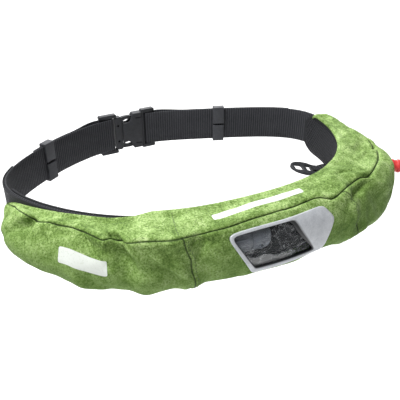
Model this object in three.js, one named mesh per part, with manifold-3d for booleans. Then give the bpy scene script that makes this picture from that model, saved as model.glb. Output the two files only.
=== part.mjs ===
// Inflatable belt pack, worn at the waist.
// A flat webbing belt runs all the way round, through a curved pouch of
// printed cloth in front and a side-release buckle behind. The pouch holds
// the folded bladder and its inflator, which shows through a clear window.
// Millimetres, +Z up. The wearer looks along -Y, so the pouch is at -Y.
// The origin is the middle of the waist, at the middle of the belt's width.
import * as THREE from 'three';
import { mergeVertices } from 'three/addons/utils/BufferGeometryUtils.js';
import Module from 'manifold-3d';

const wasm = await Module();
wasm.setup();

// Sizes of the waist and the belt
const WAIST_WIDTH = 352;
const WAIST_DEPTH = 236;
const WEBBING_WIDTH = 38;
const WEBBING_THICKNESS = 1.8;
const GAP = 0.4;

// Sizes of the pouch
const POUCH_LENGTH = 471;
const POUCH_LEFT_END = -229;
const POUCH_DEPTH = 55;
const POUCH_RISE = 3.4;
const POUCH_DROP = 44;
const COVER_WALL = 1.6;
const PANEL_THICKNESS = 1.2;
const PAD_THICKNESS = 3;
const PAD_OVERHANG = 9;
const WING_LENGTH = 53;
const PAD_LEFT_END = -244;
const PAD_RIGHT_END = 258;
const PAD_END_ROUND = 8;
const LEFT_SEAM_AT = 0.345;
const RIGHT_SEAM_AT = 0.655;

// Sizes of the window in the front: its frame, its pane and what lies behind
const WINDOW_WIDTH = 96;
const WINDOW_HEIGHT = 42;
const WINDOW_AT = 7.8;
const WINDOW_UP = -7;
const FRAME_THICKNESS = 1.2;
const FRAME_SEAT = 0.8;
const PANE_THICKNESS = 1;
const PANE_LAP = 1.8;
const CUT_ROOM = 3;
const INFLATOR_RADIUS = 11.5;
const INFLATOR_LENGTH = 42;
const INFLATOR_HOLE = 2.4;
const BLADDER_CLEARANCE = 2.4;
const BLADDER_INSET = 12;
const BLADDER_LIFT = 5;

// Sizes of the buckle, along the belt, up and through
const BUCKLE_AT = -445;
const BUCKLE_INSET = 1.9;
const BUCKLE_LENGTH = 68;
const BUCKLE_HEIGHT = 48;
const BUCKLE_BODY = 8.4;
const BUCKLE_RAIL = 3;
const BUCKLE_SLOT = 3.8;
const BUCKLE_BAR = 3;
const PRONG_THICKNESS = 4;

// Sizes of the smaller pieces
const LEFT_TAIL_END = -317;
const RIGHT_TAIL_END = 282;
const SETTLE_LENGTH = 36;
const KEEPER_LENGTH = 13;
const KEEPER_WALL = 2;
const KEEPER_SLIT = 2.4;
const LEFT_KEEPER_FROM_BUCKLE = 109;
const RIGHT_KEEPER_FROM_BUCKLE = 111;
const RING_AT = 206;
const RING_LENGTH = 33;
const RING_WIDTH = 29;
const RING_TILT = 12;
const RING_BAND = 4;
const RING_SLOT = 15;
const RING_THICKNESS = 3;
const RING_STAND_OFF = 8;
const TAB_WIDTH = 12;
const TAB_THICKNESS = 1.2;
const KNOB_AT = 166;
const KNOB_UP = -5.5;
const KNOB_RADIUS = 7;
const KNOB_LENGTH = 12;
const KNOB_STAND_OFF = 2.8;
const KNOB_NECK = 2.5;

// Where the layers lie, as distances outward from the inner face of the belt
const PANEL_IN = WEBBING_THICKNESS + GAP;
const PANEL_OUT = PANEL_IN + PANEL_THICKNESS;
const COVER_IN = PANEL_OUT + GAP;
const PAD_OUT = -GAP;
const PAD_IN = PAD_OUT - PAD_THICKNESS;
const BELT_TOP = WEBBING_WIDTH / 2;
const POUCH_TOP = BELT_TOP + POUCH_RISE;
const PAD_BOTTOM = -BELT_TOP - PAD_OVERHANG;

// How finely the cloth is faceted
const STATION_STEP = 10;
const LID_STEPS = 5;
const FRONT_STEPS = 15;
const FOLD_FADE = 4;

// The waist line, as shares of half the width and half the depth
const WAIST_POINTS = [
  [0.006, -1.036], [0.48, -1.009], [0.822, -0.69], [1, -0.177],
  [1.023, 0.25], [0.799, 0.511], [0.409, 0.765], [-0.006, 1.03],
  [-0.425, 0.931], [-0.812, 0.592], [-1.034, 0.24], [-0.977, -0.155],
  [-0.771, -0.595], [-0.462, -0.925],
];

// The pouch's sections. at is a share of its length from the left end,
// thick and seam are shares of its depth, drop of its drop, and seamUp and
// rim of its top. full says how square the front is below the seam. over is
// 1 where the cloth passes over the belt's top edge.
const SECTIONS = [
  { at: 0, thick: 0.22, drop: 0.645, full: 0.5, seam: 0.14, seamUp: 0.4, rim: 0.34, over: 0 },
  { at: 0.013, thick: 0.29, drop: 0.64, full: 0.5, seam: 0.16, seamUp: 0.54, rim: 0.5, over: 0 },
  { at: 0.032, thick: 0.42, drop: 0.64, full: 0.5, seam: 0.17, seamUp: 0.62, rim: 0.62, over: 0 },
  { at: 0.053, thick: 0.53, drop: 0.63, full: 0.5, seam: 0.24, seamUp: 0.74, rim: 0.68, over: 0 },
  { at: 0.079, thick: 0.6, drop: 0.635, full: 0.5, seam: 0.31, seamUp: 0.8, rim: 0.74, over: 0 },
  { at: 0.104, thick: 0.64, drop: 0.675, full: 0.5, seam: 0.35, seamUp: 0.8, rim: 0.79, over: 0 },
  { at: 0.146, thick: 0.67, drop: 0.76, full: 0.5, seam: 0.34, seamUp: 0.8, rim: 0.85, over: 0 },
  { at: 0.174, thick: 0.69, drop: 0.81, full: 0.5, seam: 0.36, seamUp: 0.8, rim: 0.88, over: 0 },
  { at: 0.193, thick: 0.69, drop: 0.815, full: 0.5, seam: 0.43, seamUp: 0.8, rim: 0.89, over: 0 },
  { at: 0.212, thick: 0.7, drop: 0.83, full: 0.5, seam: 0.52, seamUp: 0.8, rim: 0.9, over: 0 },
  { at: 0.227, thick: 0.7, drop: 0.82, full: 0.5, seam: 0.58, seamUp: 0.79, rim: 0.91, over: 0 },
  { at: 0.24, thick: 0.7, drop: 0.82, full: 0.5, seam: 0.5, seamUp: 0.82, rim: 0.94, over: 0 },
  { at: 0.259, thick: 0.72, drop: 0.83, full: 0.5, seam: 0.65, seamUp: 0.83, rim: 1, over: 0 },
  { at: 0.28, thick: 0.73, drop: 0.845, full: 0.5, seam: 0.65, seamUp: 0.85, rim: 1, over: 0.6 },
  { at: 0.297, thick: 0.73, drop: 0.84, full: 0.5, seam: 0.65, seamUp: 0.85, rim: 1, over: 1 },
  { at: 0.325, thick: 0.71, drop: 0.84, full: 0.5, seam: 0.65, seamUp: 0.83, rim: 1, over: 1 },
  { at: 0.359, thick: 0.67, drop: 0.86, full: 0.5, seam: 0.55, seamUp: 0.81, rim: 1, over: 1 },
  { at: 0.401, thick: 0.66, drop: 0.87, full: 0.5, seam: 0.53, seamUp: 0.82, rim: 1, over: 1 },
  { at: 0.454, thick: 0.67, drop: 0.92, full: 0.5, seam: 0.46, seamUp: 0.84, rim: 1, over: 1 },
  { at: 0.518, thick: 0.68, drop: 0.93, full: 0.5, seam: 0.45, seamUp: 0.85, rim: 1, over: 1 },
  { at: 0.571, thick: 0.67, drop: 0.93, full: 0.5, seam: 0.43, seamUp: 0.85, rim: 1, over: 1 },
  { at: 0.592, thick: 0.68, drop: 0.94, full: 0.5, seam: 0.46, seamUp: 0.83, rim: 1, over: 1 },
  { at: 0.607, thick: 0.7, drop: 0.95, full: 0.5, seam: 0.57, seamUp: 0.79, rim: 1, over: 1 },
  { at: 0.639, thick: 0.75, drop: 0.965, full: 0.5, seam: 0.54, seamUp: 0.82, rim: 1, over: 1 },
  { at: 0.673, thick: 0.82, drop: 0.98, full: 0.5, seam: 0.5, seamUp: 0.83, rim: 1, over: 1 },
  { at: 0.699, thick: 0.86, drop: 0.99, full: 0.55, seam: 0.53, seamUp: 0.82, rim: 1, over: 1 },
  { at: 0.718, thick: 0.89, drop: 1.05, full: 0.6, seam: 0.61, seamUp: 0.79, rim: 1, over: 1 },
  { at: 0.762, thick: 0.96, drop: 1.16, full: 0.75, seam: 0.64, seamUp: 0.79, rim: 1, over: 1 },
  { at: 0.794, thick: 1, drop: 1.21, full: 0.85, seam: 0.66, seamUp: 0.77, rim: 1, over: 1 },
  { at: 0.826, thick: 0.96, drop: 1.18, full: 0.85, seam: 0.65, seamUp: 0.77, rim: 1, over: 1 },
  { at: 0.851, thick: 0.86, drop: 1.09, full: 0.85, seam: 0.59, seamUp: 0.78, rim: 1, over: 1 },
  { at: 0.881, thick: 0.73, drop: 0.94, full: 0.75, seam: 0.49, seamUp: 0.79, rim: 1, over: 1 },
  { at: 0.911, thick: 0.59, drop: 0.82, full: 0.65, seam: 0.4, seamUp: 0.8, rim: 1, over: 1 },
  { at: 0.953, thick: 0.45, drop: 0.7, full: 0.5, seam: 0.31, seamUp: 0.83, rim: 1, over: 1 },
  { at: 0.983, thick: 0.35, drop: 0.67, full: 0.5, seam: 0.23, seamUp: 0.87, rim: 1, over: 1 },
  { at: 1, thick: 0.23, drop: 0.65, full: 0.5, seam: 0.15, seamUp: 0.89, rim: 1, over: 1 },
];

// Folds and dents of the cloth. at is a share of the pouch's length, and the
// rest are shares of its depth: below the seam (above it where negative),
// long, wide and deep (a ridge where negative). lean is in degrees from
// straight down, towards the right.
const FOLDS = [
  { at: 0.088, below: 0.14, long: 0.24, wide: 0.09, deep: 0.08, lean: -52 },
  { at: 0.12, below: 0.62, long: 0.5, wide: 0.3, deep: -0.04, lean: 60 },
  { at: 0.16, below: 0.09, long: 0.16, wide: 0.08, deep: 0.06, lean: 70 },
  { at: 0.2, below: 0.12, long: 0.16, wide: 0.07, deep: 0.07, lean: 62 },
  { at: 0.255, below: 0.34, long: 0.36, wide: 0.1, deep: 0.06, lean: 12 },
  { at: 0.292, below: 0.42, long: 0.5, wide: 0.12, deep: 0.07, lean: 42 },
  { at: 0.336, below: 0.75, long: 0.4, wide: 0.2, deep: -0.04, lean: 50 },
  { at: 0.356, below: 0.25, long: 0.24, wide: 0.09, deep: 0.07, lean: 8 },
  { at: 0.642, below: 0.35, long: 0.3, wide: 0.14, deep: -0.05, lean: 10 },
  { at: 0.665, below: 0.55, long: 0.5, wide: 0.1, deep: 0.06, lean: -6 },
  { at: 0.705, below: 0.4, long: 0.4, wide: 0.14, deep: 0.05, lean: 30 },
  { at: 0.84, below: -0.2, long: 0.3, wide: 0.1, deep: 0.06, lean: 60 },
  { at: 0.77, below: -0.45, long: 0.4, wide: 0.2, deep: 0.04, lean: 80 },
];

// A closed smooth line through the waist points' neighbourhood
class WaistLine extends THREE.Curve {
  getPoint(t, target = new THREE.Vector3()) {
    const count = WAIST_POINTS.length;
    const place = THREE.MathUtils.euclideanModulo(t, 1) * count;
    const first = Math.floor(place);
    const u = place - first;
    const weights = [
      (1 - u) ** 3 / 6,
      (3 * u ** 3 - 6 * u ** 2 + 4) / 6,
      (-3 * u ** 3 + 3 * u ** 2 + 3 * u + 1) / 6,
      u ** 3 / 6,
    ];
    target.set(0, 0, 0);
    weights.forEach((weight, k) => {
      const [x, y] = WAIST_POINTS[(first + k - 1 + count) % count];
      target.x += weight * x * WAIST_WIDTH / 2;
      target.y += weight * y * WAIST_DEPTH / 2;
    });
    return target;
  }
}
const waist = new WaistLine();
waist.arcLengthDivisions = 700;
const WAIST_LENGTH = waist.getLength();

// A point by the belt: s along it from the middle of the front, positive
// towards +X, out from its inner face, and up from its middle
function byBelt(s, out, up) {
  const u = THREE.MathUtils.euclideanModulo(s / WAIST_LENGTH, 1);
  const point = waist.getPointAt(u);
  const along = waist.getTangentAt(u);
  return new THREE.Vector3(point.x + out * along.y, point.y - out * along.x, up);
}

// A column of a table at a place between its rows, on a smooth curve
function column(table, key, at) {
  let row = 0;
  while (row < table.length - 2 && at > table[row + 1].at) row += 1;
  const a = table[row];
  const b = table[row + 1];
  const before = table[Math.max(row - 1, 0)];
  const after = table[Math.min(row + 2, table.length - 1)];
  const span = b.at - a.at;
  const u = THREE.MathUtils.clamp((at - a.at) / span, 0, 1);
  const slopeA = (b[key] - before[key]) / (b.at - before.at) * span;
  const slopeB = (after[key] - a[key]) / (after.at - a.at) * span;
  return (2 * u ** 3 - 3 * u ** 2 + 1) * a[key] + (u ** 3 - 2 * u ** 2 + u) * slopeA
    + (3 * u ** 2 - 2 * u ** 3) * b[key] + (u ** 3 - u ** 2) * slopeB;
}

// The pouch's outline at one place: x is outward, y is up
const knownSections = new Map();
function section(s) {
  if (!knownSections.has(s)) knownSections.set(s, drawSection(s));
  return knownSections.get(s);
}
function drawSection(s) {
  const at = (s - POUCH_LEFT_END) / POUCH_LENGTH;
  const thick = column(SECTIONS, 'thick', at) * POUCH_DEPTH;
  const bottom = -column(SECTIONS, 'drop', at) * POUCH_DROP;
  const over = THREE.MathUtils.clamp(column(SECTIONS, 'over', at), 0, 1);
  const rim = new THREE.Vector2(
    THREE.MathUtils.lerp(COVER_IN, PAD_IN, over),
    Math.min(column(SECTIONS, 'rim', at), 1) * POUCH_TOP);
  const seam = new THREE.Vector2(
    column(SECTIONS, 'seam', at) * POUCH_DEPTH,
    column(SECTIONS, 'seamUp', at) * POUCH_TOP);
  const belly = new THREE.Vector2(thick, bottom * 0.24);
  const full = column(SECTIONS, 'full', at);
  const keel = new THREE.Vector2(COVER_IN + (thick - COVER_IN) * 0.45, bottom);
  const hem = new THREE.Vector2(COVER_IN, PAD_BOTTOM + GAP);
  const rise = Math.max(0, seam.y - rim.y);
  const crown = THREE.MathUtils.clamp(0.16 * (seam.x - rim.x) - 0.3 * rise, 0, 5);
  const lid = new THREE.CubicBezierCurve(
    rim,
    new THREE.Vector2(rim.x + (seam.x - rim.x) * 0.35, rim.y + crown + 0.35 * rise),
    new THREE.Vector2(rim.x + (seam.x - rim.x) * 0.75, seam.y + crown - 0.25 * rise),
    seam);
  const front = new THREE.CurvePath();
  front.add(new THREE.CubicBezierCurve(
    seam,
    new THREE.Vector2(
      seam.x + (belly.x - seam.x) * (0.35 + full / 2),
      seam.y - (seam.y - belly.y) * (0.25 - 0.3 * full)),
    new THREE.Vector2(belly.x, belly.y + (seam.y - belly.y) * full),
    belly));
  front.add(new THREE.CubicBezierCurve(
    belly,
    new THREE.Vector2(belly.x, belly.y + (keel.y - belly.y) * 0.62),
    new THREE.Vector2(keel.x + (belly.x - keel.x) * 0.62, keel.y),
    keel));
  front.add(new THREE.CubicBezierCurve(
    keel,
    new THREE.Vector2(keel.x + (hem.x - keel.x) * 0.6, keel.y),
    new THREE.Vector2(hem.x + (keel.x - hem.x) * 0.15, hem.y + (keel.y - hem.y) * 0.3),
    hem));
  return { at, lid, front };
}

// How far the cloth is pushed in at a place
function foldDepth(at, belowSeam) {
  let depth = 0;
  for (const fold of FOLDS) {
    const lean = THREE.MathUtils.degToRad(fold.lean);
    const right = (at - fold.at) * POUCH_LENGTH;
    const down = belowSeam - fold.below * POUCH_DEPTH;
    const along = (down * Math.cos(lean) + right * Math.sin(lean)) / (fold.long * POUCH_DEPTH);
    const across = (right * Math.cos(lean) - down * Math.sin(lean)) / (fold.wide * POUCH_DEPTH);
    depth += fold.deep * POUCH_DEPTH * Math.exp(-(along ** 2) - across ** 2);
  }
  return depth;
}

// The way out of a curve of a section, square to it
function outOf(curve, v) {
  const along = curve.getTangent(THREE.MathUtils.clamp(v, 0.001, 0.999));
  return new THREE.Vector2(-along.y, along.x);
}

// The profile of the lid (v from rim to seam) or of the front (v from seam to
// hem), some depth under its outer face: x is outward, y is up
function clothProfile(part, s, v, depth) {
  const shape = section(s);
  const curve = shape[part];
  const isLid = part === 'lid';
  const point = curve.getPointAt(v);
  const way = outOf(curve, curve.getUtoTmapping(v));
  const fromSeam = isLid ? 1 - v : v;
  const belowSeam = (isLid ? -fromSeam : fromSeam) * curve.getLength();
  const pushed = foldDepth(shape.at, belowSeam) * Math.min(1, (1 - fromSeam) * FOLD_FADE);
  if (fromSeam < 0.001) {
    // both panels share the way out at the seam, so their edges are parallel
    const other = isLid ? outOf(shape.front, 0) : outOf(shape.lid, 1);
    const away = isLid ? shape.lid.getTangent(0.999).negate() : shape.front.getTangent(0.001);
    const mitre = way.clone().add(other).normalize();
    point.addScaledVector(mitre, -(depth + pushed) / mitre.dot(way));
    point.addScaledVector(away, GAP / 2);
  } else if (fromSeam > 0.999) {
    point.y += isLid ? -depth : depth;
  } else {
    point.addScaledVector(way, -(depth + pushed));
  }
  return point;
}
function clothPoint(part, s, v, depth) {
  const { x, y } = clothProfile(part, s, v, depth);
  return byBelt(s, x, y);
}

// A closed body between two faces that share one grid. face(i, j) and
// back(i, j) give the points, for i from 0 to columns and j from 0 to rows.
// A ring's last column is its first.
function sheet(columns, rows, face, back, ring = false) {
  const positions = [];
  const index = [];
  const across = rows + 1;
  const count = ring ? columns : columns + 1;
  const layer = count * across;
  for (const side of [face, back]) {
    for (let i = 0; i < count; i += 1) {
      for (let j = 0; j <= rows; j += 1) positions.push(...side(i, j).toArray());
    }
  }
  const quad = (a, b, c, d) => index.push(a, b, c, a, c, d);
  for (let i = 0; i < columns; i += 1) {
    const here = i * across;
    const next = ((i + 1) % count) * across;
    for (let j = 0; j < rows; j += 1) {
      quad(here + j, next + j, next + j + 1, here + j + 1);
      quad(layer + here + j + 1, layer + next + j + 1, layer + next + j, layer + here + j);
    }
    quad(here, layer + here, layer + next, next);
    quad(next + rows, layer + next + rows, layer + here + rows, here + rows);
  }
  if (!ring) {
    for (let j = 0; j < rows; j += 1) {
      const end = columns * across + j;
      quad(j + 1, layer + j + 1, layer + j, j);
      quad(end, layer + end, layer + end + 1, end + 1);
    }
  }
  return outwards(positions, index);
}

// A geometry from points and triangles, turned so that its faces point out
function outwards(positions, index) {
  let volume = 0;
  const corner = (k) => new THREE.Vector3().fromArray(positions, index[k] * 3);
  for (let k = 0; k < index.length; k += 3) {
    volume += corner(k).dot(corner(k + 1).cross(corner(k + 2)));
  }
  if (volume < 0) index.reverse();
  const geometry = new THREE.BufferGeometry();
  geometry.setAttribute('position', new THREE.Float32BufferAttribute(positions, 3));
  geometry.setIndex(index);
  return geometry;
}

// Even steps from one place to another, no longer than the step
function steps(from, to, step = STATION_STEP) {
  const count = Math.max(1, Math.ceil(Math.abs(to - from) / step));
  return Array.from({ length: count + 1 }, (_, k) => from + (to - from) * k / count);
}

// The stations of the cover. All its panels share them, so that their edges
// meet all along the seams.
const POUCH_RIGHT_END = POUCH_LEFT_END + POUCH_LENGTH;
const LEFT_SEAM = POUCH_LEFT_END + LEFT_SEAM_AT * POUCH_LENGTH;
const RIGHT_SEAM = POUCH_LEFT_END + RIGHT_SEAM_AT * POUCH_LENGTH;
const COVER_STATIONS = [
  ...steps(POUCH_LEFT_END, LEFT_SEAM - GAP / 2),
  ...steps(LEFT_SEAM + GAP / 2, RIGHT_SEAM - GAP / 2),
  ...steps(RIGHT_SEAM + GAP / 2, POUCH_RIGHT_END),
];

// A piece of the cover between two places along the belt
function coverPanel(part, from, to) {
  const stations = COVER_STATIONS.filter((s) => s >= from && s <= to);
  const rows = part === 'lid' ? LID_STEPS : FRONT_STEPS;
  const at = (depth) => (i, j) => clothPoint(part, stations[i], j / rows, depth);
  return sheet(stations.length - 1, rows, at(0), at(COVER_WALL));
}

// The stations of all that follows the belt, with the cover's among them
const BELT_STATIONS = [
  ...steps(-WAIST_LENGTH / 2, POUCH_LEFT_END),
  ...COVER_STATIONS.slice(1, -1),
  ...steps(POUCH_RIGHT_END, WAIST_LENGTH / 2),
];
function stationsBetween(from, to) {
  return [from, ...BELT_STATIONS.filter((s) => s > from + 1 && s < to - 1), to];
}

// A flat layer that follows the belt, with its upper and lower edge given
// as functions of the place
function beltLayer(stations, inner, outer, top, bottom) {
  const at = (out) => (i, j) => {
    const s = stations[i];
    return byBelt(s, out, j === 0 ? bottom(s) : top(s));
  };
  return sheet(stations.length - 1, 1, at(outer), at(inner));
}

// A closed body through rings of points, with its ends filled
function tube(rings) {
  const around = rings[0].length;
  const positions = rings.flat().flatMap((point) => point.toArray());
  const index = [];
  for (let i = 0; i < rings.length - 1; i += 1) {
    for (let j = 0; j < around; j += 1) {
      const a = i * around + j;
      const b = i * around + (j + 1) % around;
      index.push(a, b, b + around, a, b + around, a + around);
    }
  }
  for (const end of [0, rings.length - 1]) {
    const middle = new THREE.Vector3();
    rings[end].forEach((point) => middle.addScaledVector(point, 1 / around));
    const centre = positions.length / 3;
    positions.push(...middle.toArray());
    for (let j = 0; j < around; j += 1) {
      const a = end * around + j;
      const b = end * around + (j + 1) % around;
      index.push(...(end === 0 ? [b, a, centre] : [a, b, centre]));
    }
  }
  return outwards(positions, index);
}

// Solids for cutting and joining
function toSolid(geometry) {
  const bare = geometry.clone();
  bare.deleteAttribute('normal');
  bare.deleteAttribute('uv');
  const merged = mergeVertices(bare, 1e-4);
  return new wasm.Manifold(new wasm.Mesh({
    numProp: 3,
    vertProperties: new Float32Array(merged.attributes.position.array),
    triVerts: new Uint32Array(merged.index.array),
  }));
}
function fromSolid(solid) {
  const { numProp, vertProperties, triVerts } = solid.getMesh();
  const positions = [];
  for (let k = 0; k < vertProperties.length; k += numProp) {
    positions.push(vertProperties[k], vertProperties[k + 1], vertProperties[k + 2]);
  }
  return outwards(positions, Array.from(triVerts));
}

// The frame of the belt at a place: x along it, y up and z outward
function beltFrame(s, out = 0, up = 0) {
  const place = byBelt(s, out, up);
  const outward = byBelt(s, out + 1, up).sub(place);
  const upward = new THREE.Vector3(0, 0, 1);
  const along = upward.clone().cross(outward);
  return new THREE.Matrix4().makeBasis(along, upward, outward).setPosition(place);
}

const pack = new THREE.Group();
function add(name, geometry, finish, place = new THREE.Matrix4()) {
  const material = new THREE.MeshStandardMaterial({ ...finish, metalness: 0 });
  const mesh = new THREE.Mesh(geometry, material);
  mesh.name = name;
  mesh.applyMatrix4(place);
  pack.add(mesh);
}

const CLOTH = { color: 0x7fb04a, roughness: 0.8 };
const WEBBING = { color: 0x26272b, roughness: 0.75 };
const MESH = { color: 0x232427, roughness: 0.85 };
const BLACK_PLASTIC = { color: 0x2b2c2f, roughness: 0.4 };
const GREY_PLASTIC = { color: 0x7d8284, roughness: 0.45 };
const FRAME_GREY = { color: 0xb9bec0, roughness: 0.35 };
const CLEAR = { color: 0xcfd6d8, roughness: 0.1 };
const RUBBERY = { color: 0x1b1c1e, roughness: 0.55 };
const RED = { color: 0xd23338, roughness: 0.4 };

// The window in the front: places in it are shares of half its width and
// half its height, from its middle
const FRAME_CORNERS = [
  { x: -1, y: 0.91, holeX: -0.92, holeY: 0.82 },
  { x: -0.9, y: 1.01, holeX: -0.875, holeY: 0.88 },
  { x: 0.79, y: 1.02, holeX: 0.12, holeY: 0.9 },
  { x: 0.85, y: 0.95, holeX: 0.16, holeY: 0.8 },
  { x: 1, y: 0.46, holeX: 0.32, holeY: 0.28 },
  { x: 0.83, y: -0.97, holeX: 0.62, holeY: -0.76 },
  { x: -0.56, y: -0.99, holeX: -0.49, holeY: -0.75 },
  { x: -0.6, y: -0.82, holeX: -0.53, holeY: -0.7 },
];
function frontAtHeight(s, up) {
  const { front } = section(s);
  let above = 0;
  let below = 0.7;
  for (let k = 0; k < 30; k += 1) {
    const middle = (above + below) / 2;
    if (front.getPointAt(middle).y > up) above = middle;
    else below = middle;
  }
  return above;
}
function windowPoint(x, y, depth) {
  const s = WINDOW_AT + x * WINDOW_WIDTH / 2;
  const up = WINDOW_UP + y * WINDOW_HEIGHT / 2;
  return clothPoint('front', s, frontAtHeight(s, up), depth);
}

// The frame round the window's opening
function windowFrame() {
  const stepsPerSide = [1, 8, 1, 1, 4, 8, 1, 5];
  const across = 4;
  const places = [];
  FRAME_CORNERS.forEach((corner, k) => {
    const next = FRAME_CORNERS[(k + 1) % FRAME_CORNERS.length];
    for (let step = 0; step < stepsPerSide[k]; step += 1) {
      const u = step / stepsPerSide[k];
      places.push({
        x: THREE.MathUtils.lerp(corner.x, next.x, u),
        y: THREE.MathUtils.lerp(corner.y, next.y, u),
        holeX: THREE.MathUtils.lerp(corner.holeX, next.holeX, u),
        holeY: THREE.MathUtils.lerp(corner.holeY, next.holeY, u),
      });
    }
  });
  const at = (depth) => (i, j) => {
    const place = places[i];
    return windowPoint(
      THREE.MathUtils.lerp(place.x, place.holeX, j / across),
      THREE.MathUtils.lerp(place.y, place.holeY, j / across),
      depth);
  };
  return sheet(places.length, across, at(-FRAME_SEAT - FRAME_THICKNESS), at(-FRAME_SEAT), true);
}

// A patch over the window's opening that laps its edges, between two depths
function windowPatch(lap, top, bottom) {
  const lapX = lap / (WINDOW_WIDTH / 2);
  const lapY = lap / (WINDOW_HEIGHT / 2);
  const corners = {
    topLeft: [-0.9 - lapX, 0.86 + lapY],
    topRight: [0.14 + lapX, 0.88 + lapY],
    bottomLeft: [-0.51 - lapX, -0.74 - lapY],
    bottomRight: [0.62 + lapX, -0.76 - lapY],
  };
  const columns = 8;
  const rows = 6;
  const mix = (a, b, u) => [THREE.MathUtils.lerp(a[0], b[0], u), THREE.MathUtils.lerp(a[1], b[1], u)];
  const at = (depth) => (i, j) => {
    const high = mix(corners.topLeft, corners.topRight, i / columns);
    const low = mix(corners.bottomLeft, corners.bottomRight, i / columns);
    return windowPoint(...mix(high, low, j / rows), depth);
  };
  return sheet(columns, rows, at(top), at(bottom));
}

// Where the pull knob comes through the cover: a frame whose y is outward
function knobFrame() {
  const { x, y } = clothProfile('front', KNOB_AT, frontAtHeight(KNOB_AT, KNOB_UP), 0);
  return beltFrame(KNOB_AT, x, y).multiply(new THREE.Matrix4().makeRotationX(Math.PI / 2));
}

// The cover: a lid and three front panels
function cylinder(radius, from, to, sides = 12) {
  return new THREE.CylinderGeometry(radius, radius, to - from, sides).translate(0, (from + to) / 2, 0);
}
const windowHole = toSolid(windowPatch(PANE_LAP + GAP, -CUT_ROOM, COVER_WALL + CUT_ROOM));
const knobHole = toSolid(
  cylinder(KNOB_NECK + GAP, -COVER_WALL - CUT_ROOM, CUT_ROOM).applyMatrix4(knobFrame()));
const middlePanel = toSolid(coverPanel('front', LEFT_SEAM, RIGHT_SEAM)).subtract(windowHole);
const rightPanel = toSolid(coverPanel('front', RIGHT_SEAM, POUCH_RIGHT_END)).subtract(knobHole);
add('cover_top', coverPanel('lid', POUCH_LEFT_END, POUCH_RIGHT_END), CLOTH);
add('cover_front_left', coverPanel('front', POUCH_LEFT_END, LEFT_SEAM), CLOTH);
add('cover_front_middle', fromSolid(middlePanel), CLOTH);
add('cover_front_right', fromSolid(rightPanel), CLOTH);
add('window_frame', windowFrame(), FRAME_GREY);
add('window_pane', windowPatch(PANE_LAP, 0.2, 0.2 + PANE_THICKNESS), CLEAR);

// The panel behind the pouch, with a wing that tapers past its left end
function panelBottom(s) {
  const past = THREE.MathUtils.clamp((POUCH_LEFT_END - s) / WING_LENGTH, 0, 1);
  return THREE.MathUtils.lerp(PAD_BOTTOM, -0.1 * WEBBING_WIDTH, THREE.MathUtils.smoothstep(past, 0, 1));
}
add('back_panel', beltLayer(
  stationsBetween(POUCH_LEFT_END - WING_LENGTH, POUCH_RIGHT_END),
  PANEL_IN, PANEL_OUT, () => BELT_TOP, panelBottom), WEBBING);

// The mesh pad against the body, with rounded ends
const PAD_END_STEPS = [0, 0.2, 0.5];
function padEdge(s, edge, corner, cut) {
  const toEnd = Math.min(s - PAD_LEFT_END, PAD_RIGHT_END - s);
  const u = THREE.MathUtils.clamp(1 - toEnd / corner, 0, 1);
  return edge - cut * (1 - Math.sqrt(1 - u * u));
}
add('mesh_pad', beltLayer(
  [...PAD_END_STEPS.map((share) => PAD_LEFT_END + share * PAD_END_ROUND),
    ...stationsBetween(PAD_LEFT_END + PAD_END_ROUND, PAD_RIGHT_END - PAD_END_ROUND),
    ...PAD_END_STEPS.map((share) => PAD_RIGHT_END - share * PAD_END_ROUND).reverse()],
  PAD_IN, PAD_OUT,
  (s) => padEdge(s, BELT_TOP, 0.4 * WEBBING_WIDTH, 0.4 * WEBBING_WIDTH),
  (s) => padEdge(s, PAD_BOTTOM, 0.6 * WEBBING_WIDTH, -0.5 * WEBBING_WIDTH)), MESH);

// The folded bladder. It is thin behind the inflator, which lies in front
// of it on the left of the window.
const INFLATOR_OUT = section(WINDOW_AT).front.getPointAt(0.3).x - COVER_WALL - GAP - INFLATOR_RADIUS - 1;
const INFLATOR_AT = WINDOW_AT - 0.28 * WINDOW_WIDTH;
function bladderRing(s) {
  const back = PANEL_OUT + GAP;
  const besideInflator = (Math.abs(s - INFLATOR_AT) - INFLATOR_LENGTH / 2) / INFLATOR_RADIUS;
  const room = THREE.MathUtils.smoothstep(besideInflator, 0.3, 1.8);
  const besideKnob = Math.abs(s - KNOB_AT) / (4 * KNOB_NECK);
  const forKnob = KNOB_STAND_OFF * (1 - THREE.MathUtils.smoothstep(besideKnob, 1, 2));
  const depth = COVER_WALL + BLADDER_CLEARANCE + forKnob;
  const profile = [
    ...[0.2, 0.45, 0.7, 0.93].map((v) => clothProfile('lid', s, v, depth)),
    ...[0.04, 0.13, 0.23, 0.34, 0.45, 0.56, 0.67, 0.78].map((v) => clothProfile('front', s, v, depth)),
  ];
  const farthest = Math.max(...profile.map((point) => point.x));
  const thin = (INFLATOR_OUT - INFLATOR_RADIUS - GAP - back) / (farthest - back);
  const share = THREE.MathUtils.lerp(Math.min(thin, 1), 1, room);
  const squeezed = profile.map((point) => new THREE.Vector2(
    back + Math.max((point.x - back) * share, 0.5),
    point.y * THREE.MathUtils.lerp(0.7, 1, room)));
  const top = new THREE.Vector2(back, squeezed[0].y - 0.5);
  const lowest = squeezed[squeezed.length - 1].y;
  const bottom = new THREE.Vector2(back, Math.max(lowest, PAD_BOTTOM + BLADDER_LIFT));
  return [top, ...squeezed, bottom].map((point) => byBelt(s, point.x, point.y));
}
const bladderStations = COVER_STATIONS.filter(
  (s) => s > POUCH_LEFT_END + BLADDER_INSET && s < POUCH_RIGHT_END - BLADDER_INSET);
add('bladder', tube(bladderStations.map(bladderRing)), RUBBERY);

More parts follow.
